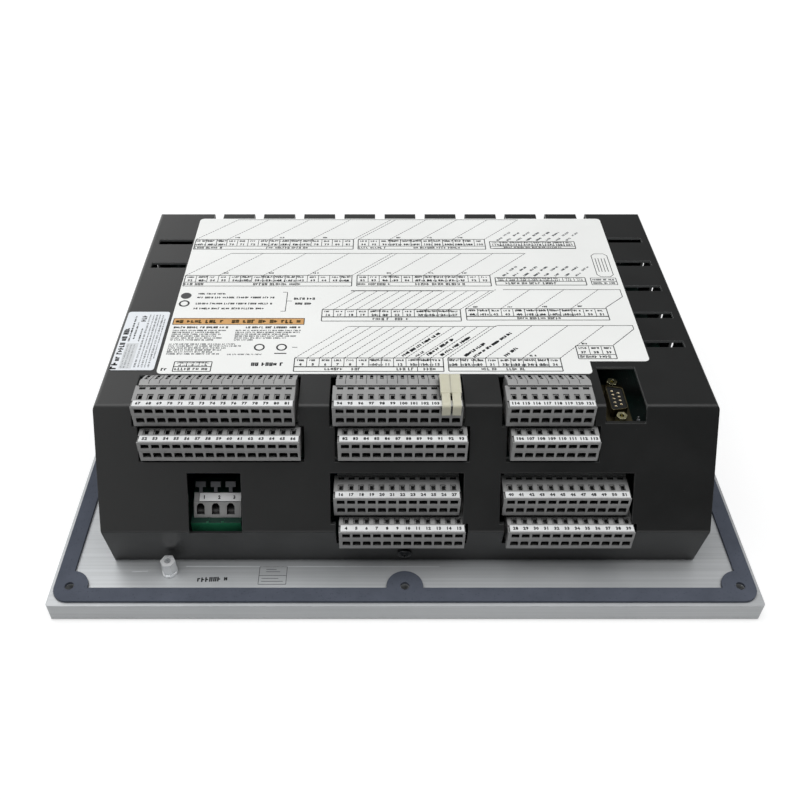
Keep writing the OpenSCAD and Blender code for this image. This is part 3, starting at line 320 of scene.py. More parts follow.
# Printing ink: dull, with a slight drift between two tones
def printInk(name, tones):
    material, tree, shader, place = newMaterial(name, 0.6, Specular_IOR_Level=0.2)
    dressSurface(tree, shader, place, tones, 2.5, 0.2, 0.004)
    return material


# Painted shade: the plugs' wire mouths, slots and the gaps between plug and header go near black
plasticGrey = mouldedPlastic("greyPolyamide", ("#939393", "#9D9D9C"), 0.42, "#C3C3C2",
                             recess=(4.4, "#050505", 0.58, 0.86))
headerGrey = mouldedPlastic("lightGreyPolyamide", ("#999999", "#A3A3A2"), 0.42, "#D6D6D5",
                            recess=(4.4, "#050505", 0.58, 0.86))
finishes = {
    powderCoat(): ["rear_cover"],
    anodisedAluminium(): ["bezel_plate"],
    spongeRubber(): ["panel_gasket"],
    platedMetal("zincPlatedSteel", ("#C6C8CA", "#D4D6D8"), 0.26): ["cover_blocks", "board_screws"],
    platedMetal("brightZincStandoff", ("#E9EBED", "#F6F7F8"), 0.3, edgeTone="#FFFFFF", metallic=0.35): [
        "ground_standoff"],
    platedMetal("blackZincSteel", ("#2C2D2E", "#38393A"), 0.34, edgeTone="#8E9091"): ["cover_screws"],
    labelFilm("satinLabelFilm", ("#F4F5F3", "#F9FAF8")): ["wiring_label"],
    labelFilm("greyedLabelFilm", ("#EAEEF3", "#F1F4F8")): ["serial_label"],
    keypadPolyester(): ["keypad_film"],
    clearAcrylic(): ["display_window"],
    displayGlass(): ["display_module"],
    solderMask(): ["main_board", "io_board", "keypad_board"],
    plasticGrey: ["plug_" + s + d for s in "abcde" for d in "12"] + ["power_plug"],
    headerGrey: ["header_" + s for s in "abcde"],
    mouldedPlastic("whitePolycarbonate", ("#E4E5E5", "#ECEDED"), 0.4, "#F4F4F4"): ["marker_strips"],
    mouldedPlastic("creamAcetal", ("#CDCAB5", "#D5D2BE"), 0.38, "#E2E0D0", Subsurface_Weight=0.6,
                   Subsurface_Radius=(1, 1, 1), Subsurface_Scale=0.003): ["lever_left", "lever_right"],
    platedMetal("springSteel", ("#8C8E8E", "#A1A3A3"), 0.3): ["clamp_springs"],
    platedMetal("tinnedCopper", ("#B0A493", "#BDB2A2"), 0.35): ["contact_bars", "header_pins", "power_pins"],
    greenHousing(): ["power_header"],
    mouldedPlastic("slateGreyPolyamide", ("#5A5C5F", "#66686B"), 0.42, "#8E9195"): ["power_tabs"],
    # Painted shade: the hollows of the data connector's shell go dark
    platedMetal("yellowChromatedShell", ("#4F4A38", "#5E5742"), 0.36, edgeTone="#A39B78",
                recess=(6.0, "#15140E", 0.2, 0.8)): ["data_shell"],
    platedMetal("yellowChromatedScrew", ("#B5B08A", "#CBC6A0"), 0.26, edgeTone="#E8E4C4"): ["jackscrews"],
    mouldedPlastic("blackPolyester", ("#0E0F0F", "#141515"), 0.45, "#2A2B2C", specular=0.25): [
        "data_insert", "service_header", "ribbon_sockets", "board_link", "processor_chip", "signal_chips"],
    platedMetal("goldFlashedBrass", ("#F0E2C4", "#FAF0DA"), 0.5): ["data_contacts"],
    platedMetal("brightTinnedPins", ("#EFF5F8", "#FAFCFD"), 0.4, metallic=0.3): ["service_pins"],
    platedMetal("nickelPlatedBrass", ("#A9A08A", "#B9B19C"), 0.3): ["lower_standoffs", "upper_standoffs"],
    coreSteel(): ["power_transformer"],
    mouldedPlastic("navySleeve", ("#1A2438", "#212C44"), 0.3, "#3B4864"): ["filter_capacitors"],
    mouldedPlastic("bluePolyester", ("#2A4E86", "#315893"), 0.38, "#5479B0"): ["output_relays"],
    platedMetal("extrudedAluminium", ("#3A3C3E", "#46484A"), 0.45, 0.4, (1, 0.05, 1)): ["heat_sink"],
    mouldedPlastic("ribbonVinyl", ("#8F9397", "#9A9EA2"), 0.45, None): ["display_ribbon"],
}
for finish, nodes in finishes.items():
    for name in nodes:
        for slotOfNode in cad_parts[name].material_slots:
            slotOfNode.material = finish
unfinished = sorted(set(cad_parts) - {n for group in finishes.values() for n in group})
print("finished", sum(len(g) for g in finishes.values()), "nodes, left", unfinished)
inkBlack = printInk("blackScreenInk", ("#1B1C1E", "#242528"))
inkGrey = printInk("greyScreenInk", ("#4B4E51", "#595C5F"))
inkCharcoal = printInk("charcoalScreenInk", ("#4A4B4C", "#535455"))
inkAmber = printInk("amberScreenInk", ("#D3A268", "#DBAC75"))
inkBrown = printInk("brownScreenInk", ("#53401F", "#5F4A28"))
inkLight = printInk("lightScreenInk", ("#D6D9DC", "#DFE2E4"))
brightGold = platedMetal("polishedGoldFlash", ("#FFF0CC", "#FFF6DC"), 0.5)


boxFaces = np.array([[0, 3, 2, 1], [4, 5, 6, 7], [0, 1, 5, 4], [1, 2, 6, 5], [2, 3, 7, 6], [3, 0, 4, 7]])


# Bars of ink: each row is x0, y0, x1, y1, width in mm; its corners are both ends plus and minus half the
# width along the turned direction, once at the label's face and once at the ink's top
def inkBars(rows, z, thick):
    rows = np.asarray(rows, float) * mm
    start, end, half = rows[:, 0:2], rows[:, 2:4], rows[:, 4:5] / 2
    along = (end - start) / np.linalg.norm(end - start, axis=1, keepdims=True)
    side = np.stack([-along[:, 1], along[:, 0]], 1) * half
    flat = np.stack([start - side, end - side, end + side, start + side], 1)
    low = np.concatenate([flat, np.full(flat.shape[:2] + (1,), z * mm)], 2)
    high = low + [0, 0, thick * mm]
    verts = np.concatenate([low, high], 1).reshape(-1, 3)
    faces = (boxFaces[None] + 8 * np.arange(len(rows))[:, None, None]).reshape(-1, 4)
    return verts, faces


# Flat figures 0 to 9 as arrays, 1 high and 1 thick, each centred on x, so that they can be stamped many times
def figureShapes():
    shapes = {}
    for figure in "0123456789":
        curve = bpy.data.curves.new("figure", "FONT")
        curve.body = figure
        curve.extrude = 0.5
        curve.resolution_u = 2
        curve.offset = 0.06
        holder = bpy.data.objects.new("figure", curve)
        bpy.context.scene.collection.objects.link(holder)
        bpy.context.view_layer.update()
        mesh = holder.to_mesh()
        verts = np.array([v.co for v in mesh.vertices])
        mesh.calc_loop_triangles()
        faces = np.array([t.vertices for t in mesh.loop_triangles])
        low, high = verts.min(0), verts.max(0)
        verts = (verts - [(low[0] + high[0]) / 2, low[1], low[2]]) / [high[1] - low[1], high[1] - low[1], 1]
        shapes[figure] = (verts, faces)
        holder.to_mesh_clear()
        bpy.data.objects.remove(holder)
        bpy.data.curves.remove(curve)
    return shapes


figures = figureShapes()


# Stamps numbers: each place is number, x, y of the foot's middle and height in mm; a figure's arrays are
# scaled, moved along x by its rank in the number, and lifted onto height z
def stampNumbers(places, z, thick, squeeze=0.9, advance=0.72):
    allVerts, allFaces, count = [], [], 0
    for number, x, y, height in places:
        text = str(number)
        for rank, figure in enumerate(text):
            verts, faces = figures[figure]
            shift = (rank - (len(text) - 1) / 2) * advance * height
            allVerts.append(verts * [height * squeeze, height, thick] + [x + shift, y, z])
            allFaces.append(faces + count)
            count += len(verts)
    return np.concatenate(allVerts) * mm, np.concatenate(allFaces)


print("wiring label")

# The wiring label's print in mm: each strip is x0, x1, foot, head, inner line, poles, first number, the
# height that its slanted guide lines rise to, and the poles that they start at
labelPrint = {
    "face": 95.8,
    "ink": 0.02,
    "line": 0.5,
    "thin": 0.34,
    "figureHeight": 2.0,
    "wordGap": 0.4,
    "strips": [
        (-122.5, -28.3, 51.75, 62.6, 55.1, 15, 67, 85.4, (0, 3, 7, 11, 15)),
        (-25.4, 50.0, 51.75, 62.6, 55.1, 12, 94, 85.4, (0, 3, 6, 9, 12)),
        (52.9, 103.3, 52.6, 60.2, 55.0, 8, 114, 0, ()),
        (-122.5, -28.3, 13.8, 24.3, 17.6, 15, 52, 47.2, (0, 3, 7, 11, 15)),
        (-25.4, 49.8, 13.8, 24.3, 17.6, 12, 82, 47.2, (0, 3, 6, 9, 12)),
        (52.5, 103.3, 14.7, 22.2, 18.4, 8, 106, 0, ()),
        (-43.6, 30.8, -18.7, -8.4, -15.0, 12, 16, 9.2, tuple(range(13))),
        (33.8, 109.8, -17.8, -7.6, -14.5, 12, 40, 10.3, (0, 3, 6, 9)),
        (-55.5, 19.3, -60.2, -49.7, -56.6, 12, 4, -23.4, tuple(range(13))),
        (21.8, 78.5, -60.0, -49.8, -56.7, 9, 28, -22.6, (0, 3, 6, 9)),
        (87.9, 107.3, -50.3, -39.8, -46.9, 3, 37, 0, ()),
        (-115.6, -96.8, -60.2, -52.6, -56.5, 3, 1, 0, ()),
    ],
    # Stretches of a strip, as shares of its width, that are close-set with words: foot band, then head band
    "footWords": [
        [(0, 0.19), (0.45, 0.72)], [(0, 0.23), (0.43, 0.81)], [(0.15, 0.85)],
        [(0, 0.14), (0.41, 0.7)], [(0, 0.27), (0.43, 0.81)], [(0.1, 0.72)],
        [(0.36, 0.5), (0.52, 0.63)], [(0.35, 0.67)],
        [(0.2, 0.34), (0.38, 0.46), (0.68, 0.82), (0.86, 0.97)],
        [(0.28, 0.44), (0.5, 0.68)], [(0.03, 0.97)], [(0.02, 0.95)],
    ],
    "headWords": [
        [(0, 0.2), (0.42, 0.75)], [(0.23, 0.5), (0.55, 0.9)], [(0.1, 0.95)],
        [(0.08, 0.14), (0.3, 0.4), (0.45, 0.7), (0.92, 1)], [(0.2, 0.3), (0.43, 0.8)], [(0.02, 0.7)],
        [(0.36, 0.49), (0.7, 0.95)], [(0.02, 0.2), (0.35, 0.8)], [(0.5, 0.6), (0.78, 0.95)],
        [(0, 0.3), (0.5, 0.9)], [], [(0.1, 0.9)],
    ],
    "longLines": [
        (-100, 85.4, 72, 85.4), (-99.5, 47.2, 72.3, 47.2), (-25.5, 9.2, 50, 9.2), (55.8, 10.3, 120.8, 10.3),
        (-29, -23.4, 49, -23.4), (49, -22.6, 120.8, -22.6), (109.8, -6.5, 120.8, 3.5),
        (120.8, 3.5, 120.8, 10.6), (109.8, -7.6, 109.8, -6.5), (107.3, -39.4, 120.8, -25.7),
        (120.8, -25.7, 120.8, -22.3),
        (-63.5, -9.9, -63.5, 7.8), (-63.5, 7.8, -66.0, 7.8), (-63.5, -9.9, -66.0, -9.9),
        (-63.5, -0.5, -60.6, -0.5),
        (106.3, 15.1, 120.6, 15.1), (120.6, 15.1, 120.6, 21.75), (120.6, 21.75, 106.3, 21.75),
        (106.3, 21.75, 106.3, 15.1), (106.3, 18.3, 120.6, 18.3),
        (6.2, -60.0, 6.2, -56.6), (-57.5, -41.0, -54.8, -41.0),
    ],
    "boldLines": [
        (54.5, 52.6, 103.3, 52.6), (-66.3, -46.0, -60.0, -46.0), (-43.6, -15.0, 30.8, -15.0),
        (33.8, -14.5, 109.8, -14.5), (-55.5, -56.6, 19.3, -56.6), (21.8, -56.7, 78.5, -56.7),
        (-28.5, 9.2, 22, 9.2),
    ],
    # Rows of words: x0, x1, middle, height
    "darkWords": [
        (-59.5, -47.3, 1.7, 2.1), (-58.6, -49.0, -2.9, 1.9), (-121.0, -92.0, -24.2, 1.7),
        (-83.0, -54.0, -24.2, 1.7), (-77.0, -60.0, -54.6, 2.7), (-112.7, -96.4, 6.3, 1.4),
        (-112.7, -70.5, 2.8, 1.6), (-112.7, -70.5, -2.9, 1.6), (-113.2, -75.5, -7.4, 1.6),
        (-121.5, -118.0, -58.7, 2.2),
    ],
    "greyWords": [
        (-121, -93, -26.9, 1.1), (-121, -96, -28.5, 1.1), (-121, -95, -30.1, 1.1), (-121, -98, -31.7, 1.1),
        (-121, -94, -33.3, 1.1), (-121, -99, -34.9, 1.1), (-88, -54, -26.9, 1.1), (-88, -54, -28.5, 1.1),
        (-88, -60, -30.1, 1.1), (-88, -56, -31.7, 1.1), (-88, -61, -33.3, 1.1), (-88, -78, -34.9, 1.1),
        (-121, -86, -38.4, 1.1), (-121, -84, -40.0, 1.1), (-121, -91, -41.6, 1.1), (-121, -93, -43.2, 1.1),
        (-121, -98, -44.8, 1.1), (-121, -94, -46.4, 1.1), (-90, -72, -46.8, 1.0), (107.2, 119.6, 20.0, 1.5),
        (107.2, 119.6, 16.7, 1.5),
    ],
    # Words that climb between the guide lines: x, y, reach, height
    "climbing": [
        (-1.1, -48.1, 28.0, 1.7), (5.6, -48.4, 6.2, 1.4), (11.6, -47.3, 21.0, 1.8), (18.4, -47.7, 22.0, 1.7),
        (30.6, -48.1, 14.7, 1.8), (35.1, -48.9, 29.5, 1.6), (50.8, -48.1, 10.2, 1.8),
    ],
    # Columns of short slanted words: x, y and reach of the first column's, which repeats slantedPitch apart
    "slant": 44.0,
    "slantedWords": [(57.5, 61.4, 4.6), (62.0, 66.6, 6.5), (57.2, 23.8, 4.6), (61.6, 29.2, 6.5)],
    "slantedColumns": 8,
    "slantedPitch": 5.9,
    # Small marks just above the strips: x and y of their middles
    "smallMarks": [
        (-99.7, 26.7), (-74, 26.7), (-49, 26.7), (17, 26.7), (36, 26.7), (39.6, -6), (58.3, -6), (77, -5.7),
        (96.3, -5.3), (65, -47.8), (93, -38), (-97.6, 64.6), (-71, 64.6), (17.5, 64.6), (-45, 64.6),
        (-1, 64.6), (36, 64.6), (-7, 26.7),
    ],
    "markLength": 3.2,
    "smallHeight": 1.3,
    # Widths of the strokes, as shares of their words' height
    "wordWeight": 0.3,
    "slantedWeight": 0.34,
    "climbWeight": 0.38,
    "barWeight": 0.34,
    # The outline of a socket with four upright lines in it
    "port": [
        (110.8, 25, 110.8, 44.8), (120, 25, 120, 44.8), (112.8, 46.75, 118, 46.75), (112.8, 23, 118, 23),
        (110.8, 44.8, 112.8, 46.75), (118, 46.75, 120, 44.8), (110.8, 25, 112.8, 23), (118, 23, 120, 25),
        (112.6, 28, 112.6, 42), (114.3, 28, 114.3, 42), (116.1, 28, 116.1, 42), (117.9, 28, 117.9, 42),
    ],
    "portLine": 0.4,
    "barLine": 0.45,
    "boldLine": 0.75,
    "rings": [(-119.0, -2.8, 2.95, 1.0), (-74.3, -41.0, 2.8, 0.85), (-62.9, -41.0, 2.8, 0.85)],
    "disc": (-119.1, 4.45, 2.9),
    "bar": (-122.1, -52.7, -21.7, -16.3),
    "barWords": [(-120.6, -116.6, 2.8), (-114.8, -95.6, 2.9), (-91.0, -87.0, 2.8), (-85.1, -53.6, 3.1)],
}


# Words stand as letter-like strokes: cells of upright and level strokes, in groups of two to six with gaps,
# whose shapes come from the seeded generator; x, y is the row's start and the middle of its height, and the
# bare numbers are shares of that height or of a stroke's reach
def words(x, y, length, tall, angle=0.0, weight=0.24):
    run, rows = 0.0, []
    c, s = math.cos(angle), math.sin(angle)
    while run < length - 0.4 * tall:
        for letter in range(int(rng.integers(2, 7))):
            if run > length - 0.4 * tall:
                break
            reach = tall * float(rng.choice([0.36, 0.5, 0.5]))
            strokes = [(run + 0.12 * tall, -reach, run + 0.12 * tall, reach)]
            kind = int(rng.integers(0, 4))
            if kind < 2:
                strokes.append((run + 0.46 * tall, -reach, run + 0.46 * tall, reach))
            if kind > 0:
                level = reach * float(rng.choice([-0.75, 0.0, 0.75]))
                strokes.append((run + 0.05 * tall, level, run + 0.52 * tall, level))
            rows += [(x + u0 * c - v0 * s, y + u0 * s + v0 * c, x + u1 * c - v1 * s, y + u1 * s + v1 * c,
                      weight * tall) for u0, v0, u1, v1 in strokes]
            run += 0.72 * tall
        run += 0.5 * tall
    return rows


# A fine dotted line of short strokes
def dotted(x0, y0, x1, y1, width, mark=1.3, gap=0.45):
    reach = math.hypot(x1 - x0, y1 - y0)
    starts = np.arange(0, reach - 0.2, mark + gap) / reach
    ends = np.minimum(starts + mark / reach, 1.0)
    return [(x0 + (x1 - x0) * a, y0 + (y1 - y0) * a, x0 + (x1 - x0) * b, y0 + (y1 - y0) * b, width)
            for a, b in zip(starts, ends)]


# A ring or disc of ink: outer and inner circles on the label's face and at the ink's top, sewn around
def inkRing(x, y, radius, width, z, thick, sides=40):
    turn = np.linspace(0, 2 * np.pi, sides, endpoint=False)
    circle = np.stack([np.cos(turn), np.sin(turn)], 1)
    inner = max(radius - width, 0.0)
    rings = [(radius, 0), (radius, 1), (inner, 1), (inner, 0)]
    verts = np.concatenate([np.column_stack([circle * r + [x, y], np.full(sides, z + lift * thick)])
                            for r, lift in rings])
    here = np.arange(sides)
    after = (here + 1) % sides
    faces = [np.stack([here + a * sides, after + a * sides, after + b * sides, here + b * sides], 1)
             for a, b in ((0, 1), (1, 2), (2, 3), (3, 0))]
    return verts * mm, np.concatenate(faces)


# Joins arrays of vertices and faces; a triangle is kept as a face of three
def joinParts(parts):
    verts, faces, count = [], [], 0
    for v, f in parts:
        if f.shape[1] == 3:
            f = np.column_stack([f, f[:, 2]])
        verts.append(v)
        faces.append(f + count)
        count += len(v)
    return np.concatenate(verts), [list(dict.fromkeys(row)) for row in np.concatenate(faces).tolist()]


# Makes a mesh object of joined arrays, gives it its finish and lets it ride on the housing
def addInk(name, parts, material, rideOn=body):
    verts, faces = joinParts(parts)
    mesh = bpy.data.meshes.new(name)
    mesh.from_pydata(verts.tolist(), [], faces)
    mesh.update()
    piece = bpy.data.objects.new(name, mesh)
    bpy.context.scene.collection.objects.link(piece)
    mesh.materials.append(material)
    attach(piece, rideOn)


# The wiring label: the strips with their boxes, numbers and words, then what stands free on the label; the
# order of the calls of words fixes the random draws
def printWiringLabel():
    p = labelPrint
    bold = p["wordWeight"]
    black, grey, brown, numbers = [], [], [], []
    for strip, foots, heads in zip(p["strips"], p["footWords"], p["headWords"]):
        x0, x1, foot, head, inner, poles, first, rise, starts = strip
        pitch, tall, wide = (x1 - x0) / poles, head - inner, x1 - x0
        black += [(x0, y, x1, y, p["line"]) for y in (foot, inner, head)]
        black += [(x, foot, x, head, p["line"]) for x in (x0, x1)]
        black += [(x0 + i * pitch, inner, x0 + i * pitch, head, p["thin"]) for i in range(1, poles)]
        for i in range(poles):
            middle = x0 + (i + 0.5) * pitch
            numbers.append((first + i, middle, inner + 0.12 * tall, min(p["figureHeight"], 0.4 * tall)))
            black += words(middle - 0.3 * pitch, head - 0.26 * tall, 0.6 * pitch, 0.2 * tall, 0.0, bold)
        for a, b in foots:
            start, reach = x0 + a * wide + p["wordGap"], (b - a) * wide - 2 * p["wordGap"]
            black += words(start, (foot + inner) / 2, reach, 0.6 * (inner - foot))
        for a, b in heads:
            start, reach = x0 + a * wide + p["wordGap"], (b - a) * wide - 2 * p["wordGap"]
            black += words(start, head - 0.2 * tall, reach, 0.24 * tall)
            grey += words(start, inner + 0.22 * tall, reach, 0.24 * tall)
        for i in starts:
            x = x0 + i * pitch
            black += dotted(x, head, x + rise - head, rise, p["thin"] * 1.15)
    black += [row + (p["line"] * 0.8,) for row in p["longLines"]]
    black += [row + (p["boldLine"],) for row in p["boldLines"]]
    for x0, x1, y, tall in p["darkWords"]:
        black += words(x0, y, x1 - x0, tall, 0.0, bold)
    for x0, x1, y, tall in p["greyWords"]:
        grey += words(x0, y, x1 - x0, tall, 0.0, bold)
    slant = math.radians(p["slant"])
    for i in range(p["slantedColumns"]):
        for x, y, reach in p["slantedWords"]:
            grey += words(x + i * p["slantedPitch"], y, reach, p["smallHeight"], slant, p["slantedWeight"])
    for x, y, reach, tall in p["climbing"]:
        black += words(x, y, reach, tall, slant, p["climbWeight"])
    for x, y in p["smallMarks"]:
        black += words(x - p["markLength"] / 2, y, p["markLength"], p["smallHeight"], 0.0, bold)
    left, right, low, high = p["bar"]
    edge = [(left, low, right, low), (left, high, right, high)]
    edge += [(left, low, left, high), (right, low, right, high)]
    black += [row + (p["barLine"],) for row in edge]
    middle = (low + high) / 2
    for x0, x1, tall in p["barWords"]:
        brown += words(x0, middle, x1 - x0, tall, 0.0, p["barWeight"])
    black += [row + (p["portLine"],) for row in p["port"]]
    z, thick = p["face"], p["ink"]
    rings = [inkRing(x, y, r, w, z, thick) for x, y, r, w in p["rings"]]
    x, y, r = p["disc"]
    addInk("labelLines", [inkBars(black, z, thick)] + rings + [stampNumbers(numbers, z, thick)],
           inkBlack)
    addInk("labelWords", [inkBars(grey, z, thick)], inkGrey)
    addInk("labelDisc", [inkRing(x, y, r, r, z, thick)], inkCharcoal)
    addInk("labelBar", [inkBars([(left, middle, right, middle, high - low)], z, thick * 0.5)], inkAmber)
    addInk("labelBarWords", [inkBars(brown, z, thick)], inkBrown)


printWiringLabel()

serialPrint = {
    "face": 95.8,
    "ink": 0.02,
    # Columns: x, top, low end, width of the letters and weight of their strokes
    "columns": [
        (-145.0, -25.0, -52.0, 1.7, 0.3), (-145.6, -53.5, -58.5, 2.6, 0.26),
        (-142.4, -14.0, -36.0, 0.6, 0.3), (-140.2, -20.0, -34.0, 0.55, 0.3),
        (-138.0, -14.0, -19.0, 1.6, 0.3), (-137.2, -25.0, -36.0, 0.5, 0.3),
        (-135.2, -13.0, -57.0, 0.6, 0.2), (-133.3, -13.0, -57.0, 0.4, 0.2),
        (-131.6, -13.0, -57.0, 0.6, 0.2), (-130.0, -13.0, -57.0, 0.4, 0.2),
        (-128.3, -13.0, -57.0, 0.6, 0.2), (-126.8, -16.0, -50.0, 0.4, 0.2),
        (-141.9, -38.0, -57.6, 0.5, 0.16), (-140.3, -38.0, -57.6, 0.5, 0.16),
        (-138.6, -38.0, -57.6, 0.5, 0.16),
    ],
    "block": (-142.9, -136.7, -58.0, -37.6),
}


# The small label: columns of letter-like strokes up the label, some of them over one grey field
def printSerialLabel():
    p = serialPrint
    rows = []
    for x, top, low, width, weight in p["columns"]:
        rows += words(x, low, top - low, width * 1.6, math.pi / 2, weight)
    addInk("serialWords", [inkBars(rows, p["face"], p["ink"])], inkBlack)
    x0, x1, y0, y1 = p["block"]
    fields = [((x0 + x1) / 2, y0, (x0 + x1) / 2, y1, x1 - x0)]
    addInk("serialField", [inkBars(fields, p["face"], p["ink"])], inkLight)


printSerialLabel()

print("marker numbers")
markerPrint = {
    "pole": 5.0,
    "firstPole": 3.55,
    "height": 1.9,
    "foot": 1.45,
    "lift": 0.3,
    "ink": 0.03,
    "squeeze": 0.95,
    "advance": 0.68,
    # Each plug's number of poles and first number
    "rows": {
        "plug_a1": (15, 67), "plug_a2": (15, 52), "plug_b1": (12, 94), "plug_b2": (12, 82),
        "plug_c1": (8, 114), "plug_c2": (8, 106), "plug_d1": (12, 16), "plug_d2": (12, 4),
        "plug_e1": (12, 40), "plug_e2": (12, 28),
    },
    "power": {"poles": (-100.3, -92.8, -85.3), "foot": 1.1, "slope": 26.57, "fromFront": 4.8,
              "fromFoot": 6.9},
}


# Turns points in metres by degrees about the x axis, then moves them
def tilt(verts, degrees, move):
    c, s = math.cos(math.radians(degrees)), math.sin(math.radians(degrees))
    return verts @ np.array([[1, 0, 0], [0, c, s], [0, -s, c]]) + np.array(move)


# Numbers on the white strips, one for each pole
def printMarkers():
    p = markerPrint
    parts = []
    for node, (poles, first) in p["rows"].items():
        low, high = [np.array(c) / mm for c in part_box(node)]
        places = [(first + i, low[0] + p["firstPole"] + i * p["pole"], low[1] + p["foot"], p["height"])
                  for i in range(poles)]
        parts.append(stampNumbers(places, high[2] + p["lift"], p["ink"], p["squeeze"], p["advance"]))
    low, high = [np.array(c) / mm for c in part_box("power_plug")]
    q = p["power"]
    places = [(i + 1, x, q["foot"], p["height"]) for i, x in enumerate(q["poles"])]
    verts, faces = stampNumbers(places, 0, p["ink"])
    strip = [0, (low[1] + q["fromFront"]) * mm, (low[2] + q["fromFoot"]) * mm]
    parts.append((tilt(verts, q["slope"], strip), faces))
    addInk("markerNumbers", parts, inkBlack)


printMarkers()

print("contact mouths")
# In mm: radius of a mouth and of its rolled edge, pitch along a row, half the way between the rows; then the
# numbers of faces round the mouth and round its edge, and the share of the edge's radius that is sunk
mouths = {"ring": 0.56, "wire": 0.17, "pitch": 2.77, "apart": 1.42, "around": 12, "across": 6, "sunk": 0.4}


# Rolled mouths of the nine contacts: one small ring on top of each, five in one row and four in the other
def rollMouths():
    low, high = [np.array(c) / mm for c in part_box("data_contacts")]
    m = mouths
    u, v = np.meshgrid(np.arange(m["around"]), np.arange(m["across"]), indexing="ij")
    turn, roll = u.ravel() * 2 * np.pi / m["around"], v.ravel() * 2 * np.pi / m["across"]
    reach = m["ring"] + m["wire"] * np.cos(roll)
    ring = np.column_stack([reach * np.cos(turn), reach * np.sin(turn), m["wire"] * np.sin(roll)])
    i, j = u.ravel(), v.ravel()
    nextI, nextJ = (i + 1) % m["around"], (j + 1) % m["across"]
    faces = np.column_stack([i * m["across"] + j, nextI * m["across"] + j, nextI * m["across"] + nextJ,
                             i * m["across"] + nextJ])
    middle = (low + high) / 2
    places = [(-m["apart"], (k - 2) * m["pitch"]) for k in range(5)]
    places += [(m["apart"], (k - 1.5) * m["pitch"]) for k in range(4)]
    top = high[2] - m["wire"] * m["sunk"]
    parts = [((ring + [middle[0] + x, middle[1] + y, top]) * mm, faces) for x, y in places]
    addInk("contactMouths", parts, brightGold)


rollMouths()

print("front film and plate marks")
frontPrint = {
    "pitch": 30.0,
    "side": 20.0,
    "first": 12.0,
    "face": -0.15,
    "ink": 0.03,
    "frameInset": 1.2,
    "frameLine": 0.5,
    "figureHeight": 7.0,
    "figureDrop": 3.5,
    "sideColumns": 4,
    "keyRows": 4,
    "arrowHalf": 4.0,
    "arrowTip": 4.2,
    "barb": 4.0,
    "barbTurn": 140,
    "arrowLine": 1.0,
    "dashHalf": 4.0,
    "dashLine": 1.2,
    # What a key shows, by its column and row: a figure, or an arrow at an angle; all others show a dash
    "figures": {(-1, 0): 7, (0, 0): 8, (1, 0): 9, (-1, 1): 4, (0, 1): 5, (1, 1): 6, (-1, 2): 1, (0, 2): 2,
                (1, 2): 3, (0, 3): 0},
    "arrows": {(3, 0): 90, (3, 2): -90, (2, 1): 180, (4, 1): 0},
}


# The front is looked at from below, so its print is drawn upright and then turned half round the y axis
def printFront():
    p = frontPrint
    rows, places = [], []
    for i in range(-p["sideColumns"], p["sideColumns"] + 1):
        for j in range(p["keyRows"]):
            x, y = i * p["pitch"], p["first"] - j * p["pitch"]
            half = p["side"] / 2 - p["frameInset"]
            square = [(x - half, y - half, x + half, y - half), (x - half, y + half, x + half, y + half),
                      (x - half, y - half, x - half, y + half), (x + half, y - half, x + half, y + half)]
            rows += [row + (p["frameLine"],) for row in square]
            if (i, j) in p["figures"]:
                places.append((p["figures"][(i, j)], x, y - p["figureDrop"], p["figureHeight"]))
            elif (i, j) in p["arrows"]:
                a = math.radians(p["arrows"][(i, j)])
                c, s = math.cos(a), math.sin(a)
                reach = p["arrowHalf"]
                rows.append((x - reach * c, y - reach * s, x + reach * c, y + reach * s, p["arrowLine"]))
                tipX, tipY = x + p["arrowTip"] * c, y + p["arrowTip"] * s
                for side in (1, -1):
                    b = a + side * math.radians(p["barbTurn"])
                    rows.append((tipX, tipY, tipX + p["barb"] * math.cos(b), tipY + p["barb"] * math.sin(b),
                                 p["arrowLine"]))
            else:
                rows.append((x - p["dashHalf"], y, x + p["dashHalf"], y, p["dashLine"]))
    flip = np.array([-1, 1, -1])
    parts = [inkBars(rows, 0, p["ink"]), stampNumbers(places, 0, p["ink"])]
    parts = [(v * flip + [0, 0, p["face"] * -mm], f) for v, f in parts]
    addInk("keyLegends", parts, inkLight)


printFront()


# Marks on the plate's rear face in front of the cover's skirt, in mm: two painted bright lines along it that
# stand for light caught along an edge, one row of dark letter-like strokes, and a faint stamped frame with
# fine lines in it
plateMarks = {
    "ink": 0.02,
    "paintedHighlights": [(-112.0, -115.4, 18.0, -115.6, 0.4), (-139.0, -118.8, -131.0, -118.4, 0.35)],
    "row": (-105.0, -123.9, 15.6, 2.8, 0.05),
    "outline": [
        (-74.0, -126.6, -60.0, -126.6), (-74.0, -115.6, -60.0, -115.6), (-74.0, -126.6, -74.0, -115.6),
        (-60.0, -126.6, -60.0, -115.6), (-74.0, -121.2, -60.0, -121.2), (-72.6, -124.8, -61.6, -124.8),
        (-72.6, -123.0, -64.0, -123.0), (-70.6, -118.8, -63.4, -118.8), (-70.6, -117.4, -65.4, -117.4),
    ],
    "outlineLine": 0.3,
    "weight": 0.26,
}


# Lays the marks on the plate's rear face
def markPlate():
    p = plateMarks
    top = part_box("bezel_plate")[1][2] / mm
    # Painted highlight: two thin bright lines stand for light caught along an edge
    addInk("platePaintedHighlight", [inkBars(p["paintedHighlights"], top, p["ink"])], inkLight)
    x, y, length, tall, climb = p["row"]
    stamp = words(x, y, length, tall, climb, p["weight"])
    addInk("plateStamp", [inkBars(stamp, top, p["ink"])], inkBlack)
    outline = [row + (p["outlineLine"],) for row in p["outline"]]
    addInk("plateOutline", [inkBars(outline, top, p["ink"])], inkGrey)


markPlate()

print("camera, light and floor")
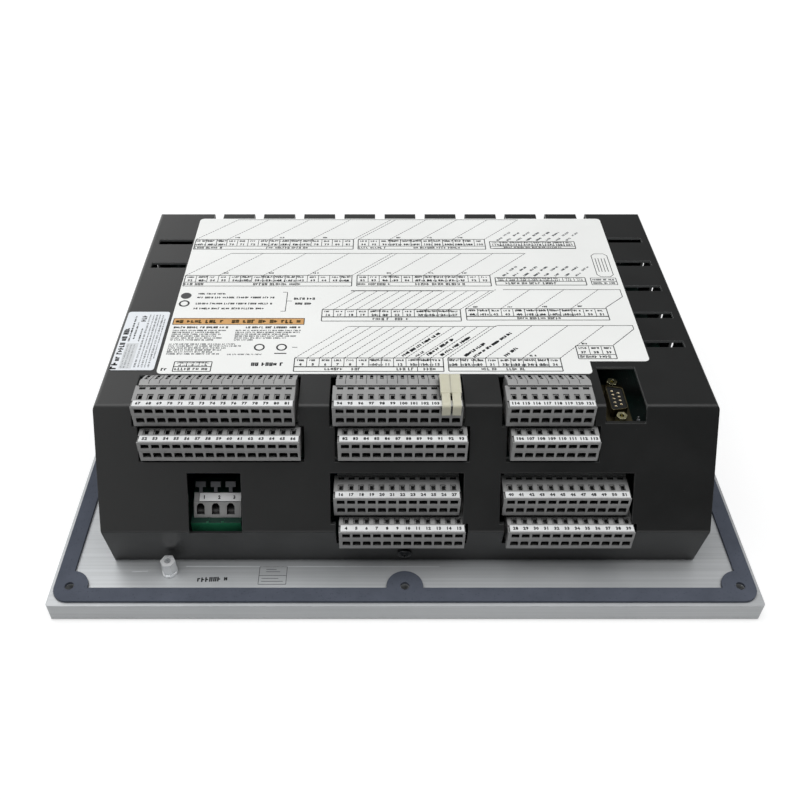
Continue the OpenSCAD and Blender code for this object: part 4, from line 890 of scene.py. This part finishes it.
# Places in metres, lens and sensor in mm, angles in degrees. roomTurn, roomBend and roomLevel grade the
# room that glossy surfaces mirror, by direction, up to roomMost. The floor shows floorShown lit plus
# floorGlow, and for the camera gains floorMore between floorNear and floorFar from the origin, so that it
# stays white far out
studio = {
    "sensor": 36,
    "nearest": 0.01,
    "lens": 39.95,
    "shift": 0.0256,
    "cameraPlace": (-0.01271, -0.39752, 0.3795),
    "cameraTilt": 48.09,
    "lampPlace": (-0.05, -0.15, 1.3),
    "lampAim": (0.0, 0.0, 0.05),
    "lampSize": (2.0, 1.1),
    "lampWatts": 17.3,
    "fill": 0.2,
    "roomTurn": (-3.1, 0.38, 0.0),
    "roomLevel": -0.9,
    "roomBend": (2.0, 0.0, 0.0),
    "roomMost": 1.9,
    "floorHalf": 4.0,
    "floorDrop": 0.0002,
    "floorGrey": 0.5,
    "floorShown": 0.62,
    "floorGlow": 0.53,
    "floorNear": 0.4,
    "floorFar": 0.8,
    "floorMore": 0.6,
}


# A rectangular lamp at a place, turned towards a point
def addLamp(name, place, aim, size, watts):
    lamp = bpy.data.lights.new(name, "AREA")
    lamp.shape = "RECTANGLE"
    lamp.size, lamp.size_y = size
    lamp.energy = watts
    holder = bpy.data.objects.new(name, lamp)
    bpy.context.scene.collection.objects.link(holder)
    holder.location = place
    line = np.array(aim) - np.array(place)
    holder.rotation_euler = (math.acos(-line[2] / float(np.linalg.norm(line))), 0,
                             math.atan2(line[1], line[0]) - math.pi / 2)


# The camera, the lamp over the part, the pale world and the floor
def setStage():
    scene = bpy.context.scene
    camera = bpy.data.cameras.new("photographersView")
    camera.lens = studio["lens"]
    camera.sensor_width = studio["sensor"]
    camera.shift_x = studio["shift"]
    camera.clip_start = studio["nearest"]
    holder = bpy.data.objects.new("photographersView", camera)
    scene.collection.objects.link(holder)
    holder.location = studio["cameraPlace"]
    holder.rotation_euler = (math.radians(studio["cameraTilt"]), 0, 0)
    scene.camera = holder
    addLamp("softOverhead", studio["lampPlace"], studio["lampAim"], studio["lampSize"], studio["lampWatts"])
    world = bpy.data.worlds.new("paleStudio")
    scene.world = world
    world.use_nodes = True
    tree = world.node_tree
    tree.nodes.clear()
    rays = addNode(tree, "ShaderNodeLightPath")
    seen = calculate(tree, "MAXIMUM", rays.outputs["Is Camera Ray"], rays.outputs["Is Transmission Ray"])
    dim = addNode(tree, "ShaderNodeBackground", {"Color": (0.97, 0.99, 1, 1), "Strength": studio["fill"]})
    white = addNode(tree, "ShaderNodeBackground", {"Color": (1, 1, 1, 1), "Strength": 1.0})
    way = addNode(tree, "ShaderNodeTexCoord").outputs["Object"]
    side = addNode(tree, "ShaderNodeVectorMath", {0: way, 1: studio["roomTurn"]}, operation="DOT_PRODUCT")
    squares = addNode(tree, "ShaderNodeVectorMath", {0: way, 1: way}, operation="MULTIPLY").outputs[0]
    bend = addNode(tree, "ShaderNodeVectorMath", {0: squares, 1: studio["roomBend"]}, operation="DOT_PRODUCT")
    level = calculate(tree, "ADD", side.outputs["Value"], bend.outputs["Value"])
    level = calculate(tree, "EXPONENT", calculate(tree, "ADD", level, studio["roomLevel"]))
    level = calculate(tree, "MINIMUM", level, studio["roomMost"])
    room = addNode(tree, "ShaderNodeBackground", {"Color": (1, 1, 1, 1), "Strength": level})
    mixed = addNode(tree, "ShaderNodeMixShader", {0: rays.outputs["Is Glossy Ray"], 1: dim.outputs[0],
                                                  2: room.outputs[0]})
    mixed = addNode(tree, "ShaderNodeMixShader", {0: seen, 1: mixed.outputs[0], 2: white.outputs[0]})
    addNode(tree, "ShaderNodeOutputWorld", {"Surface": mixed.outputs[0]})
    scene.view_settings.view_transform = "Standard"
    floorMesh = bpy.data.meshes.new("paleFloor")
    half, drop = studio["floorHalf"], -studio["floorDrop"]
    corners = [(-half, -half, drop), (half, -half, drop), (half, half, drop), (-half, half, drop)]
    floorMesh.from_pydata(corners, [], [(0, 1, 2, 3)])
    floor = bpy.data.objects.new("paleFloor", floorMesh)
    scene.collection.objects.link(floor)
    material = bpy.data.materials.new("paleFloorPaint")
    material.use_nodes = True
    tree = material.node_tree
    tree.nodes.clear()
    rays = addNode(tree, "ShaderNodeLightPath")
    seen = calculate(tree, "MAXIMUM", rays.outputs["Is Camera Ray"], rays.outputs["Is Glossy Ray"])
    seen = calculate(tree, "MAXIMUM", seen, rays.outputs["Is Transmission Ray"])
    grey = studio["floorGrey"]
    bounce = addNode(tree, "ShaderNodeBsdfDiffuse", {"Color": (grey, grey, grey, 1)})
    lit = addNode(tree, "ShaderNodeBsdfDiffuse", {"Color": (studio["floorShown"],) * 3 + (1,)})
    place = addNode(tree, "ShaderNodeTexCoord").outputs["Object"]
    away = addNode(tree, "ShaderNodeVectorMath", {0: place}, operation="LENGTH").outputs["Value"]
    more = addNode(tree, "ShaderNodeMapRange", {"Value": away, "From Min": studio["floorNear"],
                                                "From Max": studio["floorFar"],
                                                "To Max": studio["floorMore"]}).outputs[0]
    more = calculate(tree, "MULTIPLY_ADD", rays.outputs["Is Camera Ray"], more, studio["floorGlow"])
    glow = addNode(tree, "ShaderNodeEmission", {"Color": (1, 1, 1, 1), "Strength": more})
    shown = addNode(tree, "ShaderNodeAddShader", {0: lit.outputs[0], 1: glow.outputs[0]})
    mixed = addNode(tree, "ShaderNodeMixShader", {0: seen, 1: bounce.outputs[0], 2: shown.outputs[0]})
    addNode(tree, "ShaderNodeOutputMaterial", {"Surface": mixed.outputs[0]})
    floorMesh.materials.append(material)


setStage()
